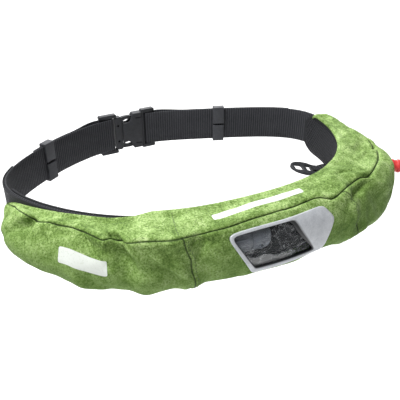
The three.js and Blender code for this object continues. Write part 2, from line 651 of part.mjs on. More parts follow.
// The inflator: a capsule that lies along the belt, with a small port
const capsule = toSolid(new THREE.CapsuleGeometry(
  INFLATOR_RADIUS, INFLATOR_LENGTH - 2 * INFLATOR_RADIUS, 4, 14).rotateZ(Math.PI / 2));
const port = toSolid(cylinder(INFLATOR_HOLE / 2, 0, 2 * INFLATOR_RADIUS, 8)
  .rotateX(Math.PI / 2).translate(0.2 * INFLATOR_LENGTH, -0.3 * INFLATOR_RADIUS, INFLATOR_RADIUS * 0.5));
add('inflator', fromSolid(capsule.subtract(port)), GREY_PLASTIC, beltFrame(INFLATOR_AT, INFLATOR_OUT, 0));

// The pull knob, which turns about the line out of the cloth: a flange
// inside the cover, a neck through it and a grip outside
function knobProfile() {
  const grip = KNOB_STAND_OFF;
  const tip = grip + KNOB_LENGTH;
  const inside = -COVER_WALL - KNOB_STAND_OFF;
  return [
    [0, inside - 1.2], [KNOB_NECK + 1.4, inside - 1.2], [KNOB_NECK + 1.4, inside],
    [KNOB_NECK, inside], [KNOB_NECK, grip], [KNOB_RADIUS - 1, grip], [KNOB_RADIUS, grip + 1],
    [KNOB_RADIUS, grip + 0.3 * KNOB_LENGTH], [KNOB_RADIUS - 0.7, grip + 0.36 * KNOB_LENGTH],
    [KNOB_RADIUS - 0.7, grip + 0.6 * KNOB_LENGTH], [KNOB_RADIUS, grip + 0.66 * KNOB_LENGTH],
    [KNOB_RADIUS, tip - 1.5], [KNOB_RADIUS - 1.5, tip], [0, tip],
  ].map(([x, y]) => new THREE.Vector2(x, y));
}
add('pull_knob', fromSolid(toSolid(new THREE.LatheGeometry(knobProfile(), 14))), RED, knobFrame());

// The buckle, drawn face on: x along the belt, y up and z outward
const BAR_OUT = WEBBING_THICKNESS + GAP + BUCKLE_BAR / 2;
const HALF_LENGTH = BUCKLE_LENGTH / 2;
const HALF_HEIGHT = BUCKLE_HEIGHT / 2;
const SLOT_HEIGHT = WEBBING_WIDTH / 2 + 1;
const PRONG_IN = BAR_OUT - PRONG_THICKNESS / 2;
const buckleFrame = beltFrame(BUCKLE_AT, -BUCKLE_INSET);

function plate(outline, holes, from, to) {
  const shape = new THREE.Shape(outline.map(([x, y]) => new THREE.Vector2(x, y)));
  holes.forEach((hole) => {
    shape.holes.push(new THREE.Path(hole.map(([x, y]) => new THREE.Vector2(x, y))));
  });
  const geometry = new THREE.ExtrudeGeometry(shape, { depth: to - from, bevelEnabled: false });
  return geometry.translate(0, 0, from);
}
function box(x0, x1, y0, y1, corner = 0) {
  if (corner === 0) return [[x0, y0], [x1, y0], [x1, y1], [x0, y1]];
  return [
    [x0 + corner, y0], [x1 - corner, y0], [x1, y0 + corner], [x1, y1 - corner],
    [x1 - corner, y1], [x0 + corner, y1], [x0, y1 - corner], [x0, y0 + corner],
  ];
}
function joined(...geometries) {
  return geometries.map(toSolid).reduce((whole, piece) => whole.add(piece));
}

// The end of either half of the buckle: a bar for the webbing, with a slot
// between it and the body, and a rail along each of the webbing's edges. side
// is 1 at the plug's end and -1 at the socket's.
function buckleEnd(side, base) {
  const turned = (outline) => (side > 0 ? outline : outline.map(([x, y]) => [-x, y]).reverse());
  const rail = (low, high) => plate(
    turned(box(base - 2, HALF_LENGTH, low, high, 0.8)), [],
    BAR_OUT - BUCKLE_RAIL, BAR_OUT + BUCKLE_RAIL);
  return [
    plate(
      turned(box(base - 2, HALF_LENGTH, -HALF_HEIGHT, HALF_HEIGHT, 2.5)),
      [turned(box(base, base + BUCKLE_SLOT, -SLOT_HEIGHT, SLOT_HEIGHT))],
      BAR_OUT - BUCKLE_BAR / 2, BAR_OUT + BUCKLE_BAR / 2),
    rail(SLOT_HEIGHT, HALF_HEIGHT),
    rail(-HALF_HEIGHT, -SLOT_HEIGHT),
  ];
}

// The plug: its end, a base, a middle guide and two prongs
const PLUG_BASE = 0.45 * HALF_LENGTH;
const PLUG_FACE = 0.2 * HALF_LENGTH;
const PRONG_TIP = -0.36 * HALF_LENGTH;
function prong(side) {
  const outline = [
    [PLUG_FACE + 1, 0.5], [PLUG_BASE - 1, 0.62], [0.32 * HALF_LENGTH, 0.74], [0.14 * HALF_LENGTH, 0.81],
    [-0.06 * HALF_LENGTH, 0.82], [-0.22 * HALF_LENGTH, 0.78], [PRONG_TIP, 0.66], [PRONG_TIP, 0.54],
    [-0.14 * HALF_LENGTH, 0.66], [0.06 * HALF_LENGTH, 0.66], [PLUG_FACE - 1, 0.58],
  ];
  const points = outline.map(([x, y]) => [x, side * y * HALF_HEIGHT]);
  return plate(side > 0 ? points : points.reverse(), [], PRONG_IN, PRONG_IN + PRONG_THICKNESS);
}
const plug = joined(
  ...buckleEnd(1, PLUG_BASE),
  plate(
    box(PLUG_FACE, PLUG_BASE, -0.84 * HALF_HEIGHT, 0.84 * HALF_HEIGHT, 2), [],
    BAR_OUT - 0.4 * BUCKLE_BODY, BAR_OUT + 0.4 * BUCKLE_BODY),
  plate(
    box(PRONG_TIP, PLUG_FACE + 1, -0.14 * HALF_HEIGHT, 0.14 * HALF_HEIGHT, 1), [],
    PRONG_IN, PRONG_IN + PRONG_THICKNESS),
  prong(1),
  prong(-1));
add('buckle_plug', fromSolid(plug), BLACK_PLASTIC, buckleFrame);

// The socket: a body with room for the prongs, whose sides are cut back so
// that they show, and its end
const SOCKET_MOUTH = PLUG_FACE - GAP;
const SOCKET_BASE = 0.58 * HALF_LENGTH;
const BODY_SIDE = 0.9;
const bodySide = [
  [SOCKET_MOUTH, 0.54], [0.1 * HALF_LENGTH, 0.49], [0, 0.48], [-0.08 * HALF_LENGTH, 0.54],
  [-0.14 * HALF_LENGTH, 0.68], [-0.17 * HALF_LENGTH, 0.84], [-0.21 * HALF_LENGTH, BODY_SIDE],
  [-SOCKET_BASE, BODY_SIDE],
];
const bodyOutline = [
  ...bodySide.map(([x, y]) => [x, y * HALF_HEIGHT]),
  ...bodySide.map(([x, y]) => [x, -y * HALF_HEIGHT]).reverse(),
].reverse();
const socketBody = toSolid(plate(
  bodyOutline, [], BAR_OUT - BUCKLE_BODY / 2, BAR_OUT + BUCKLE_BODY / 2));
const room = toSolid(plate(
  box(PRONG_TIP - 1, PLUG_FACE + 1, -0.84 * HALF_HEIGHT, 0.84 * HALF_HEIGHT), [],
  PRONG_IN - GAP, PRONG_IN + PRONG_THICKNESS + GAP));
const socket = joined(...buckleEnd(-1, SOCKET_BASE)).add(socketBody.subtract(room));
add('buckle_socket', fromSolid(socket), BLACK_PLASTIC, buckleFrame);

// The webbing, seen from above along its middle: the left tail, the wrap
// round the plug's bar, the belt, the wrap round the socket's bar and the
// right tail
const WRAP_RADIUS = BUCKLE_BAR * Math.SQRT1_2 + GAP + WEBBING_THICKNESS / 2;
const TAIL_OUT = 1.5 * WEBBING_THICKNESS + GAP;
const WRAP_TURN = 22.5;
// side is 1 at the plug's bar and -1 at the socket's
function wrap(side) {
  const at = (side > 0 ? PLUG_BASE : SOCKET_BASE) + BUCKLE_SLOT + BUCKLE_BAR / 2;
  return steps(-90 - WRAP_TURN / 2, 90, WRAP_TURN).map((degrees) => {
    const angle = THREE.MathUtils.degToRad(degrees);
    const point = new THREE.Vector3(
      side * (at - WRAP_RADIUS * Math.cos(angle)), 0, BAR_OUT + WRAP_RADIUS * Math.sin(angle));
    return point.applyMatrix4(buckleFrame);
  });
}
// The tail leaves the bar at the wrap's height and settles on the belt
function tailLine(end, atBar) {
  const overBar = new THREE.Vector3(Math.sign(atBar - BUCKLE_AT) * HALF_LENGTH, 0, BAR_OUT + WRAP_RADIUS)
    .applyMatrix4(buckleFrame);
  const from = byBelt(atBar, 0, 0);
  const outward = byBelt(atBar, 1, 0).sub(from);
  const lift = overBar.sub(from).dot(outward) - TAIL_OUT;
  return steps(end, atBar).map((s) => {
    const settled = THREE.MathUtils.smoothstep(Math.abs(s - atBar), 0, SETTLE_LENGTH);
    return byBelt(s, TAIL_OUT + lift * (1 - settled), 0);
  });
}
const PLUG_BAR_AT = BUCKLE_AT + HALF_LENGTH + 3;
const SOCKET_BAR_AT = BUCKLE_AT - HALF_LENGTH - 3;
const webbingLine = [
  ...tailLine(LEFT_TAIL_END, PLUG_BAR_AT),
  ...wrap(1).reverse(),
  ...stationsBetween(PLUG_BAR_AT + 5, SOCKET_BAR_AT + WAIST_LENGTH - 5)
    .map((s) => byBelt(s, WEBBING_THICKNESS / 2, 0)),
  ...wrap(-1),
  ...tailLine(RIGHT_TAIL_END - WAIST_LENGTH, SOCKET_BAR_AT).reverse(),
];
function webbingFace(side) {
  const last = webbingLine.length - 1;
  return (i, j) => {
    const point = webbingLine[i];
    const before = webbingLine[Math.max(i - 1, 0)];
    const after = webbingLine[Math.min(i + 1, last)];
    const into = point.clone().sub(before).normalize();
    const onward = after.clone().sub(point).normalize();
    const along = into.add(onward).normalize();
    const away = new THREE.Vector3(along.y, -along.x, 0).multiplyScalar(side * WEBBING_THICKNESS / 2);
    return point.clone().add(away).setZ(j === 0 ? -BELT_TOP : BELT_TOP);
  };
}
add('belt_webbing', sheet(webbingLine.length - 1, 1, webbingFace(1), webbingFace(-1)), WEBBING);

// The keepers: bands round the belt and its tail, with a slit on the body side
function keeper() {
  const inner = -GAP;
  const outer = 2 * WEBBING_THICKNESS + 2 * GAP;
  const high = BELT_TOP + GAP;
  const wall = KEEPER_WALL;
  const half = KEEPER_SLIT / 2;
  const corner = 0.4 * wall;
  const outline = [
    [inner, half], [inner, high], [outer, high], [outer, -high], [inner, -high], [inner, -half],
    [inner - wall, -half], [inner - wall, -high - wall + corner], [inner - wall + corner, -high - wall],
    [outer + wall - corner, -high - wall], [outer + wall, -high - wall + corner],
    [outer + wall, high + wall - corner], [outer + wall - corner, high + wall],
    [inner - wall + corner, high + wall], [inner - wall, high + wall - corner], [inner - wall, half],
  ];
  return plate(outline, [], -KEEPER_LENGTH / 2, KEEPER_LENGTH / 2).rotateY(-Math.PI / 2);
}
add('keeper_left', keeper(), BLACK_PLASTIC, beltFrame(BUCKLE_AT + LEFT_KEEPER_FROM_BUCKLE));
add('keeper_right', keeper(), BLACK_PLASTIC, beltFrame(BUCKLE_AT - RIGHT_KEEPER_FROM_BUCKLE));

// The accessory ring lies inside the belt, tilted, and is drawn from above:
// x is outward and y along the belt
const RING_UP = PAD_BOTTOM - RING_THICKNESS / 2;
const RING_OUT = PAD_IN - RING_STAND_OFF - RING_LENGTH / 2;
function oval(radiusX, radiusY, sides) {
  return Array.from({ length: sides }, (_, k) => {
    const angle = 2 * Math.PI * k / sides;
    return [radiusX * Math.cos(angle), radiusY * Math.sin(angle)];
  });
}
function ringHole(side) {
  const corner = 0.17 * RING_SLOT;
  const points = box(
    RING_BAND / 2, RING_LENGTH / 2 - RING_BAND, -RING_SLOT / 2, RING_SLOT / 2, corner);
  return side > 0 ? points : points.map(([x, y]) => [-x, y]).reverse();
}
const ring = plate(
  oval(RING_LENGTH / 2, RING_WIDTH / 2, 24), [ringHole(1), ringHole(-1)],
  -RING_THICKNESS / 2, RING_THICKNESS / 2);
const tilt = THREE.MathUtils.degToRad(RING_TILT);
ring.applyMatrix4(new THREE.Matrix4().makeBasis(
  new THREE.Vector3(0, -Math.sin(tilt), Math.cos(tilt)),
  new THREE.Vector3(1, 0, 0),
  new THREE.Vector3(0, Math.cos(tilt), Math.sin(tilt))));
add('accessory_ring', ring, BLACK_PLASTIC, beltFrame(RING_AT, RING_OUT, RING_UP));

// The tab that holds the ring: webbing looped round its rim and sewn under
// the pad, drawn across the belt: x is outward and y up
function ringTab() {
  const fromRing = ([x, y]) => [
    RING_OUT + x * Math.cos(tilt) + y * Math.sin(tilt),
    RING_UP - x * Math.sin(tilt) + y * Math.cos(tilt),
  ];
  const near = RING_LENGTH / 2 - 1.7 * RING_BAND;
  const far = RING_LENGTH / 2 + GAP;
  const half = RING_THICKNESS / 2 + GAP;
  const wide = half + TAB_THICKNESS;
  const loop = box(near - TAB_THICKNESS, far + TAB_THICKNESS, -wide, wide, 1.6).map(fromRing);
  const rootTop = PAD_BOTTOM - GAP;
  const rootBottom = rootTop - TAB_THICKNESS;
  const outline = [
    loop[0], loop[1], [PAD_IN, rootBottom], [PANEL_OUT - 0.2, rootBottom],
    [PANEL_OUT - 0.2, rootTop], [PAD_IN - 1, rootTop], loop[4], loop[5], loop[6], loop[7],
  ];
  const hole = box(near, far, -half, half, 0.8).map(fromRing);
  return plate(outline, [hole.reverse()], -TAB_WIDTH / 2, TAB_WIDTH / 2).rotateY(-Math.PI / 2);
}
add('ring_tab', ringTab(), WEBBING, beltFrame(RING_AT));

export default pack;
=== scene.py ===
"""The finish of an inflatable belt pack: a curved pouch of printed cloth with a
window, on a webbing belt with a side-release buckle. Metres, +Z up. The wearer
looks along -Y, and the origin is the middle of the waist."""
from math import copysign, cos, pi, radians, sin

import bpy
import numpy as np
from mathutils import Matrix, Vector


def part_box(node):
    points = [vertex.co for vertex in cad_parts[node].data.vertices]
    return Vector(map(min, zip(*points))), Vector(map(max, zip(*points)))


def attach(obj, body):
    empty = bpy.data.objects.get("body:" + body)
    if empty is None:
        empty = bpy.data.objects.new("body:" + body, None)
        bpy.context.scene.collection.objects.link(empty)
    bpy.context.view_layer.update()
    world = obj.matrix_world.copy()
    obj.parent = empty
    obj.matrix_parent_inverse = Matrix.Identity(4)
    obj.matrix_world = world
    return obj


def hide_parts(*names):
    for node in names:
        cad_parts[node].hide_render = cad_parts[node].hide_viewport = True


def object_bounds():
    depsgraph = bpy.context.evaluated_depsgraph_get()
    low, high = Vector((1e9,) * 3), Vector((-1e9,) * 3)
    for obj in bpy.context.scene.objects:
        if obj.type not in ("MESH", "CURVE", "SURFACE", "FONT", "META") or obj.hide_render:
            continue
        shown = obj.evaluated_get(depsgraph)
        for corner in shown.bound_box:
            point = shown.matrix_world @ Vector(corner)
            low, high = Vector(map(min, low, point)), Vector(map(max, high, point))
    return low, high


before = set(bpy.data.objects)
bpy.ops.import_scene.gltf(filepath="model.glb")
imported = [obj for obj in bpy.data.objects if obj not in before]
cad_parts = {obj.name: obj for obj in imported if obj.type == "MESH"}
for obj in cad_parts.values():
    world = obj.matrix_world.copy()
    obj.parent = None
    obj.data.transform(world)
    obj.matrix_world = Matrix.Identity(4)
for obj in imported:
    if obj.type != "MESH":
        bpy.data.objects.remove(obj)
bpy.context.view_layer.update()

MM = 0.001

# The waist and the belt
WAIST_WIDTH = 352 * MM
WAIST_DEPTH = 236 * MM
WEBBING_WIDTH = 38 * MM
WEBBING_THICKNESS = 1.8 * MM
GAP = 0.4 * MM

# The pouch
POUCH_LENGTH = 471 * MM
POUCH_LEFT_END = -229 * MM
POUCH_RIGHT_END = POUCH_LEFT_END + POUCH_LENGTH
POUCH_DEPTH = 55 * MM
POUCH_TOP = 22.4 * MM
POUCH_DROP = 44 * MM
COVER_WALL = 1.2 * MM
PANEL_THICKNESS = 1.2 * MM
PAD_THICKNESS = 3 * MM
PAD_OVERHANG = 9 * MM
WING_LENGTH = 53 * MM
PAD_LEFT_END = -244 * MM
PAD_RIGHT_END = 258 * MM
LEFT_SEAM = POUCH_LEFT_END + 0.345 * POUCH_LENGTH
RIGHT_SEAM = POUCH_LEFT_END + 0.655 * POUCH_LENGTH

# The window in the front
WINDOW_WIDTH = 96 * MM
WINDOW_HEIGHT = 42 * MM
WINDOW_AT = 7.8 * MM
WINDOW_UP = -7 * MM
FRAME_SEAT = 0.3 * MM
FRAME_THICKNESS = 1.7 * MM
INFLATOR_RADIUS = 11.5 * MM
INFLATOR_LENGTH = 42 * MM
INFLATOR_AT = WINDOW_AT - 0.28 * WINDOW_WIDTH

# The buckle, and where the webbing passes round its bars
BUCKLE_AT = -445 * MM
BUCKLE_INSET = 1.9 * MM
BUCKLE_LENGTH = 68 * MM
BUCKLE_HEIGHT = 48 * MM
BUCKLE_BODY = 8.4 * MM
BUCKLE_SLOT = 3.8 * MM
BUCKLE_BAR = 3 * MM
LEFT_TAIL_END = -317 * MM
RIGHT_TAIL_END = 282 * MM
SETTLE_LENGTH = 36 * MM

# The ring, its tab and the pull knob
RING_AT = 206 * MM
RING_LENGTH = 33 * MM
RING_WIDTH = 29 * MM
RING_TILT = radians(12)
RING_BAND = 4 * MM
RING_SLOT = 15 * MM
RING_THICKNESS = 3 * MM
KNOB_AT = 166 * MM
KNOB_UP = -5.5 * MM
KNOB_RADIUS = 7 * MM
KNOB_LENGTH = 12 * MM
KNOB_STAND_OFF = 2.8 * MM

# Where the layers lie, outward from the inner face of the belt
PANEL_IN = WEBBING_THICKNESS + GAP
PANEL_OUT = PANEL_IN + PANEL_THICKNESS
COVER_IN = PANEL_OUT + GAP
PAD_OUT = -GAP
PAD_IN = PAD_OUT - PAD_THICKNESS
BELT_TOP = WEBBING_WIDTH / 2
PAD_BOTTOM = -BELT_TOP - PAD_OVERHANG

# The camera, which stands where the photograph was taken
CAMERA_AT = Vector((-0.2435, -0.450, 0.255))
CAMERA_LOOKS_AT = Vector((0.025, 0.015, -0.055))
CAMERA_LENS = 49.5

# The waist line, as shares of half the width and half the depth
WAIST_POINTS = np.array((
    (0.006, -1.036), (0.48, -1.009), (0.822, -0.69), (1, -0.177),
    (1.023, 0.25), (0.799, 0.511), (0.409, 0.765), (-0.006, 1.03),
    (-0.425, 0.931), (-0.812, 0.592), (-1.034, 0.24), (-0.977, -0.155),
    (-0.771, -0.595), (-0.462, -0.925),
)) * (WAIST_WIDTH / 2, WAIST_DEPTH / 2)

# The pouch's sections, at shares of its length. thick and seam are shares of
# its depth, drop of its drop, and seam_up and rim of its top. over is 1 where
# the cloth passes over the belt's top edge.
SECTION_COLUMNS = ("at", "thick", "drop", "full", "seam", "seam_up", "rim", "over")
SECTIONS = np.array((
    (0, 0.22, 0.645, 0.5, 0.14, 0.4, 0.34, 0),
    (0.013, 0.29, 0.64, 0.5, 0.16, 0.54, 0.5, 0),
    (0.032, 0.42, 0.64, 0.5, 0.17, 0.62, 0.62, 0),
    (0.053, 0.53, 0.63, 0.5, 0.24, 0.74, 0.68, 0),
    (0.079, 0.6, 0.635, 0.5, 0.31, 0.8, 0.74, 0),
    (0.104, 0.64, 0.675, 0.5, 0.35, 0.8, 0.79, 0),
    (0.146, 0.67, 0.76, 0.5, 0.34, 0.8, 0.85, 0),
    (0.174, 0.69, 0.81, 0.5, 0.36, 0.8, 0.88, 0),
    (0.193, 0.69, 0.815, 0.5, 0.43, 0.8, 0.89, 0),
    (0.212, 0.7, 0.83, 0.5, 0.52, 0.8, 0.9, 0),
    (0.227, 0.7, 0.82, 0.5, 0.58, 0.79, 0.91, 0),
    (0.24, 0.7, 0.82, 0.5, 0.5, 0.82, 0.94, 0),
    (0.259, 0.72, 0.83, 0.5, 0.65, 0.83, 1, 0),
    (0.28, 0.73, 0.845, 0.5, 0.65, 0.85, 1, 0.6),
    (0.297, 0.73, 0.84, 0.5, 0.65, 0.85, 1, 1),
    (0.325, 0.71, 0.84, 0.5, 0.65, 0.83, 1, 1),
    (0.359, 0.67, 0.86, 0.5, 0.55, 0.81, 1, 1),
    (0.401, 0.66, 0.87, 0.5, 0.53, 0.82, 1, 1),
    (0.454, 0.67, 0.92, 0.5, 0.46, 0.84, 1, 1),
    (0.518, 0.68, 0.93, 0.5, 0.45, 0.85, 1, 1),
    (0.571, 0.67, 0.93, 0.5, 0.43, 0.85, 1, 1),
    (0.592, 0.68, 0.94, 0.5, 0.46, 0.83, 1, 1),
    (0.607, 0.7, 0.95, 0.5, 0.57, 0.79, 1, 1),
    (0.639, 0.75, 0.965, 0.5, 0.54, 0.82, 1, 1),
    (0.673, 0.82, 0.98, 0.5, 0.5, 0.83, 1, 1),
    (0.699, 0.86, 0.99, 0.55, 0.53, 0.82, 1, 1),
    (0.718, 0.89, 1.05, 0.6, 0.61, 0.79, 1, 1),
    (0.762, 0.96, 1.16, 0.75, 0.64, 0.79, 1, 1),
    (0.794, 1, 1.21, 0.85, 0.66, 0.77, 1, 1),
    (0.826, 0.96, 1.18, 0.85, 0.65, 0.77, 1, 1),
    (0.851, 0.86, 1.09, 0.85, 0.59, 0.78, 1, 1),
    (0.881, 0.73, 0.94, 0.75, 0.49, 0.79, 1, 1),
    (0.911, 0.59, 0.82, 0.65, 0.4, 0.8, 1, 1),
    (0.953, 0.45, 0.7, 0.5, 0.31, 0.83, 1, 1),
    (0.983, 0.35, 0.67, 0.5, 0.23, 0.87, 1, 1),
    (1, 0.23, 0.65, 0.5, 0.15, 0.89, 1, 1),
))

# Folds and dents of the cloth. at is a share of the pouch's length, and the
# next four are shares of its depth: below the seam (above it where negative),
# long, wide and deep (a ridge where negative). lean is in degrees from
# straight down, towards the right.
FOLDS = (
    (0.088, 0.14, 0.24, 0.09, 0.08, -52),
    (0.12, 0.62, 0.5, 0.3, -0.04, 60),
    (0.16, 0.09, 0.16, 0.08, 0.06, 70),
    (0.2, 0.12, 0.16, 0.07, 0.07, 62),
    (0.255, 0.34, 0.36, 0.1, 0.06, 12),
    (0.292, 0.42, 0.5, 0.12, 0.07, 42),
    (0.336, 0.75, 0.4, 0.2, -0.04, 50),
    (0.356, 0.25, 0.24, 0.09, 0.07, 8),
    (0.642, 0.35, 0.3, 0.14, -0.05, 10),
    (0.665, 0.55, 0.5, 0.1, 0.06, -6),
    (0.705, 0.4, 0.4, 0.14, 0.05, 30),
    (0.84, -0.2, 0.3, 0.1, 0.06, 60),
    (0.77, -0.45, 0.4, 0.2, 0.04, 80),
)

# Small creases that the source's solids leave out, in the same columns
CREASES = (
    (0.0915, 0.055, 0.24, 0.055, 0.1, -31),
    (0.062, 0.35, 0.3, 0.07, 0.04, -50),
    (0.245, -0.01, 0.14, 0.045, 0.085, 60),
    (0.255, 0.27, 0.22, 0.055, 0.105, 23),
    (0.274, 0.26, 0.28, 0.06, -0.085, 35),
    (0.353, 0.09, 0.12, 0.04, 0.06, -29),
    (0.362, 0.2, 0.25, 0.04, 0.055, -15),
    (0.345, 0.5, 0.25, 0.06, 0.06, 20),
    (0.31, 0.55, 0.3, 0.07, 0.06, 48),
    (0.2, 0.75, 0.3, 0.08, 0.035, 65),
    (0.86, 0.35, 0.35, 0.06, 0.055, 10),
    (0.78, 0.45, 0.4, 0.06, 0.055, -12),
    (0.61, 0.02, 0.12, 0.04, 0.06, 75),
    (0.673, 0.18, 0.28, 0.07, 0.085, -80),
    (0.713, 0, 0.1, 0.05, 0.06, 80),
    (0.826, -0.18, 0.3, 0.07, 0.095, 26),
    (0.14, 0.3, 0.22, 0.05, 0.022, 55),
    (0.225, 0.25, 0.3, 0.04, -0.03, 40),
    (0.24, 0.6, 0.3, 0.06, -0.025, 48),
    (0.275, 0.5, 0.35, 0.05, 0.02, 50),
    (0.31, 0.2, 0.2, 0.05, 0.03, 20),
    (0.38, 0.15, 0.14, 0.05, 0.03, 70),
    (0.69, 0.8, 0.35, 0.07, 0.03, 12),
    (0.73, 0.3, 0.35, 0.06, -0.03, 40),
    (0.76, 0.7, 0.4, 0.08, 0.02, 65),
    (0.69, -0.25, 0.25, 0.05, 0.03, 75),
    (0.8, -0.3, 0.35, 0.05, -0.03, 70),
    (0.88, -0.25, 0.3, 0.05, 0.03, 60),
    (0.9, 0.35, 0.3, 0.07, 0.025, -30),
    (0.05, 0.42, 0.5, 0.24, -0.055, 80),
    (0.187, 0.8, 0.25, 0.11, -0.05, 10),
    (0.207, 0.8, 0.2, 0.08, 0.025, 10),
    (0.23, 0.83, 0.25, 0.14, 0.03, 10),
    (0.254, 0.85, 0.25, 0.1, 0.03, 10),
    (0.28, 0.88, 0.25, 0.14, -0.045, 10),
    (0.672, 0.9, 0.4, 0.12, -0.09, 85),
)


# Small measures that many pieces need

def smooth(value, low=0.0, high=1.0):
    """A soft step from 0 to 1 between two values."""
    u = np.clip((value - low) / (high - low), 0, 1)
    return u * u * (3 - 2 * u)


def ridge(distance, width):
    """1 on a line, falling away on both sides of it."""
    return np.exp(-((distance / width) ** 2))


def rounded(to_end, radius):
    """A quarter circle that rises from 0 at an end to 1."""
    u = np.clip(1 - to_end / radius, 0, 1)
    return np.sqrt(1 - u * u)


def from_ends(run):
    """How far each place of a run lies from its nearer end."""
    return np.minimum(run - run[0], run[-1] - run)


def unit(vectors):
    return vectors / np.maximum(np.linalg.norm(vectors, axis=-1, keepdims=True), 1e-12)


def run_lengths(line):
    """How far along a line each of its points lies."""
    return np.concatenate([[0], np.cumsum(np.linalg.norm(np.diff(line, axis=0), axis=1))])


# The belt's line

def spline(turn):
    """The waist line's point and direction, where turn counts its points."""
    first = np.floor(turn).astype(int)
    u = (turn - first)[..., None]
    weights = ((1 - u) ** 3 / 6, (3 * u**3 - 6 * u**2 + 4) / 6,
               (-3 * u**3 + 3 * u**2 + 3 * u + 1) / 6, u**3 / 6)
    slopes = (-(1 - u) ** 2 / 2, (3 * u**2 - 4 * u) / 2,
              (-3 * u**2 + 2 * u + 1) / 2, u**2 / 2)
    near = [WAIST_POINTS[(first + k - 1) % len(WAIST_POINTS)] for k in range(4)]
    point = sum(weight * p for weight, p in zip(weights, near))
    along = sum(slope * p for slope, p in zip(slopes, near))
    return point, unit(along)


loop_turns = np.linspace(0, len(WAIST_POINTS), 4001)
loop_lengths = run_lengths(spline(loop_turns)[0])
WAIST_LENGTH = loop_lengths[-1]


def by_belt(s, out, up):
    """Points s along the belt from the middle of the front, out from its inner
    face and up from its middle."""
    s, out, up = np.broadcast_arrays(s, out, up)
    turn = np.interp(np.mod(s, WAIST_LENGTH), loop_lengths, loop_turns)
    point, along = spline(turn)
    return np.stack([point[..., 0] + out * along[..., 1],
                     point[..., 1] - out * along[..., 0], up], axis=-1)


def outward_at(s):
    return by_belt(s, 1, 0) - by_belt(s, 0, 0)


def belt_frame(s, out=0.0, up=0.0):
    """The frame at a place by the belt: x along it, y up and z outward."""
    place = Vector(by_belt(s, out, up))
    outward = Vector(by_belt(s, out + 1, up)) - place
    along = Vector((0, 0, 1)).cross(outward)
    turned = Matrix((along, (0, 0, 1), outward)).transposed().to_4x4()
    return Matrix.Translation(place) @ turned


# The pouch's form

def along_pouch(s):
    """A place along the belt as a share of the pouch's length."""
    return (s - POUCH_LEFT_END) / POUCH_LENGTH


def column(name, at):
    """A column of the sections, on a smooth curve through its rows."""
    places = SECTIONS[:, 0]
    values = SECTIONS[:, SECTION_COLUMNS.index(name)]
    last = len(places) - 1
    row = np.clip(np.searchsorted(places, at) - 1, 0, last - 1)
    before, after = np.maximum(row - 1, 0), np.minimum(row + 2, last)
    span = places[row + 1] - places[row]
    u = np.clip((at - places[row]) / span, 0, 1)
    slope_a = (values[row + 1] - values[before]) / (places[row + 1] - places[before]) * span
    slope_b = (values[after] - values[row]) / (places[after] - places[row]) * span
    return ((2 * u**3 - 3 * u**2 + 1) * values[row] + (u**3 - 2 * u**2 + u) * slope_a
            + (3 * u**2 - 2 * u**3) * values[row + 1] + (u**3 - u**2) * slope_b)


def bezier(a, b, c, d, count=41):
    u = np.linspace(0, 1, count)[None, :, None]
    a, b, c, d = (point[:, None, :] for point in (a, b, c, d))
    return (1 - u) ** 3 * a + 3 * u * (1 - u) ** 2 * b + 3 * u**2 * (1 - u) * c + u**3 * d


def evenly(curves, rows):
    """Each curve again, with its points evenly spaced, and its length."""
    shares = np.linspace(0, 1, rows + 1)
    again, lengths = [], []
    for curve in curves:
        run = run_lengths(curve)
        again.append([np.interp(shares * run[-1], run, curve[:, k]) for k in range(2)])
        lengths.append(run[-1:])
    return np.array(again).transpose(0, 2, 1), np.array(lengths)


def fold_depth(at, below, table):
    """How far the cloth is pushed in at a place."""
    depth = 0
    for fold_at, fold_below, long, wide, deep, lean in table:
        lean = radians(lean)
        right = (at - fold_at) * POUCH_LENGTH
        down = below - fold_below * POUCH_DEPTH
        along = (down * cos(lean) + right * sin(lean)) / (long * POUCH_DEPTH)
        across = (right * cos(lean) - down * sin(lean)) / (wide * POUCH_DEPTH)
        depth = depth + deep * POUCH_DEPTH * np.exp(-(along**2) - across**2)
    return depth


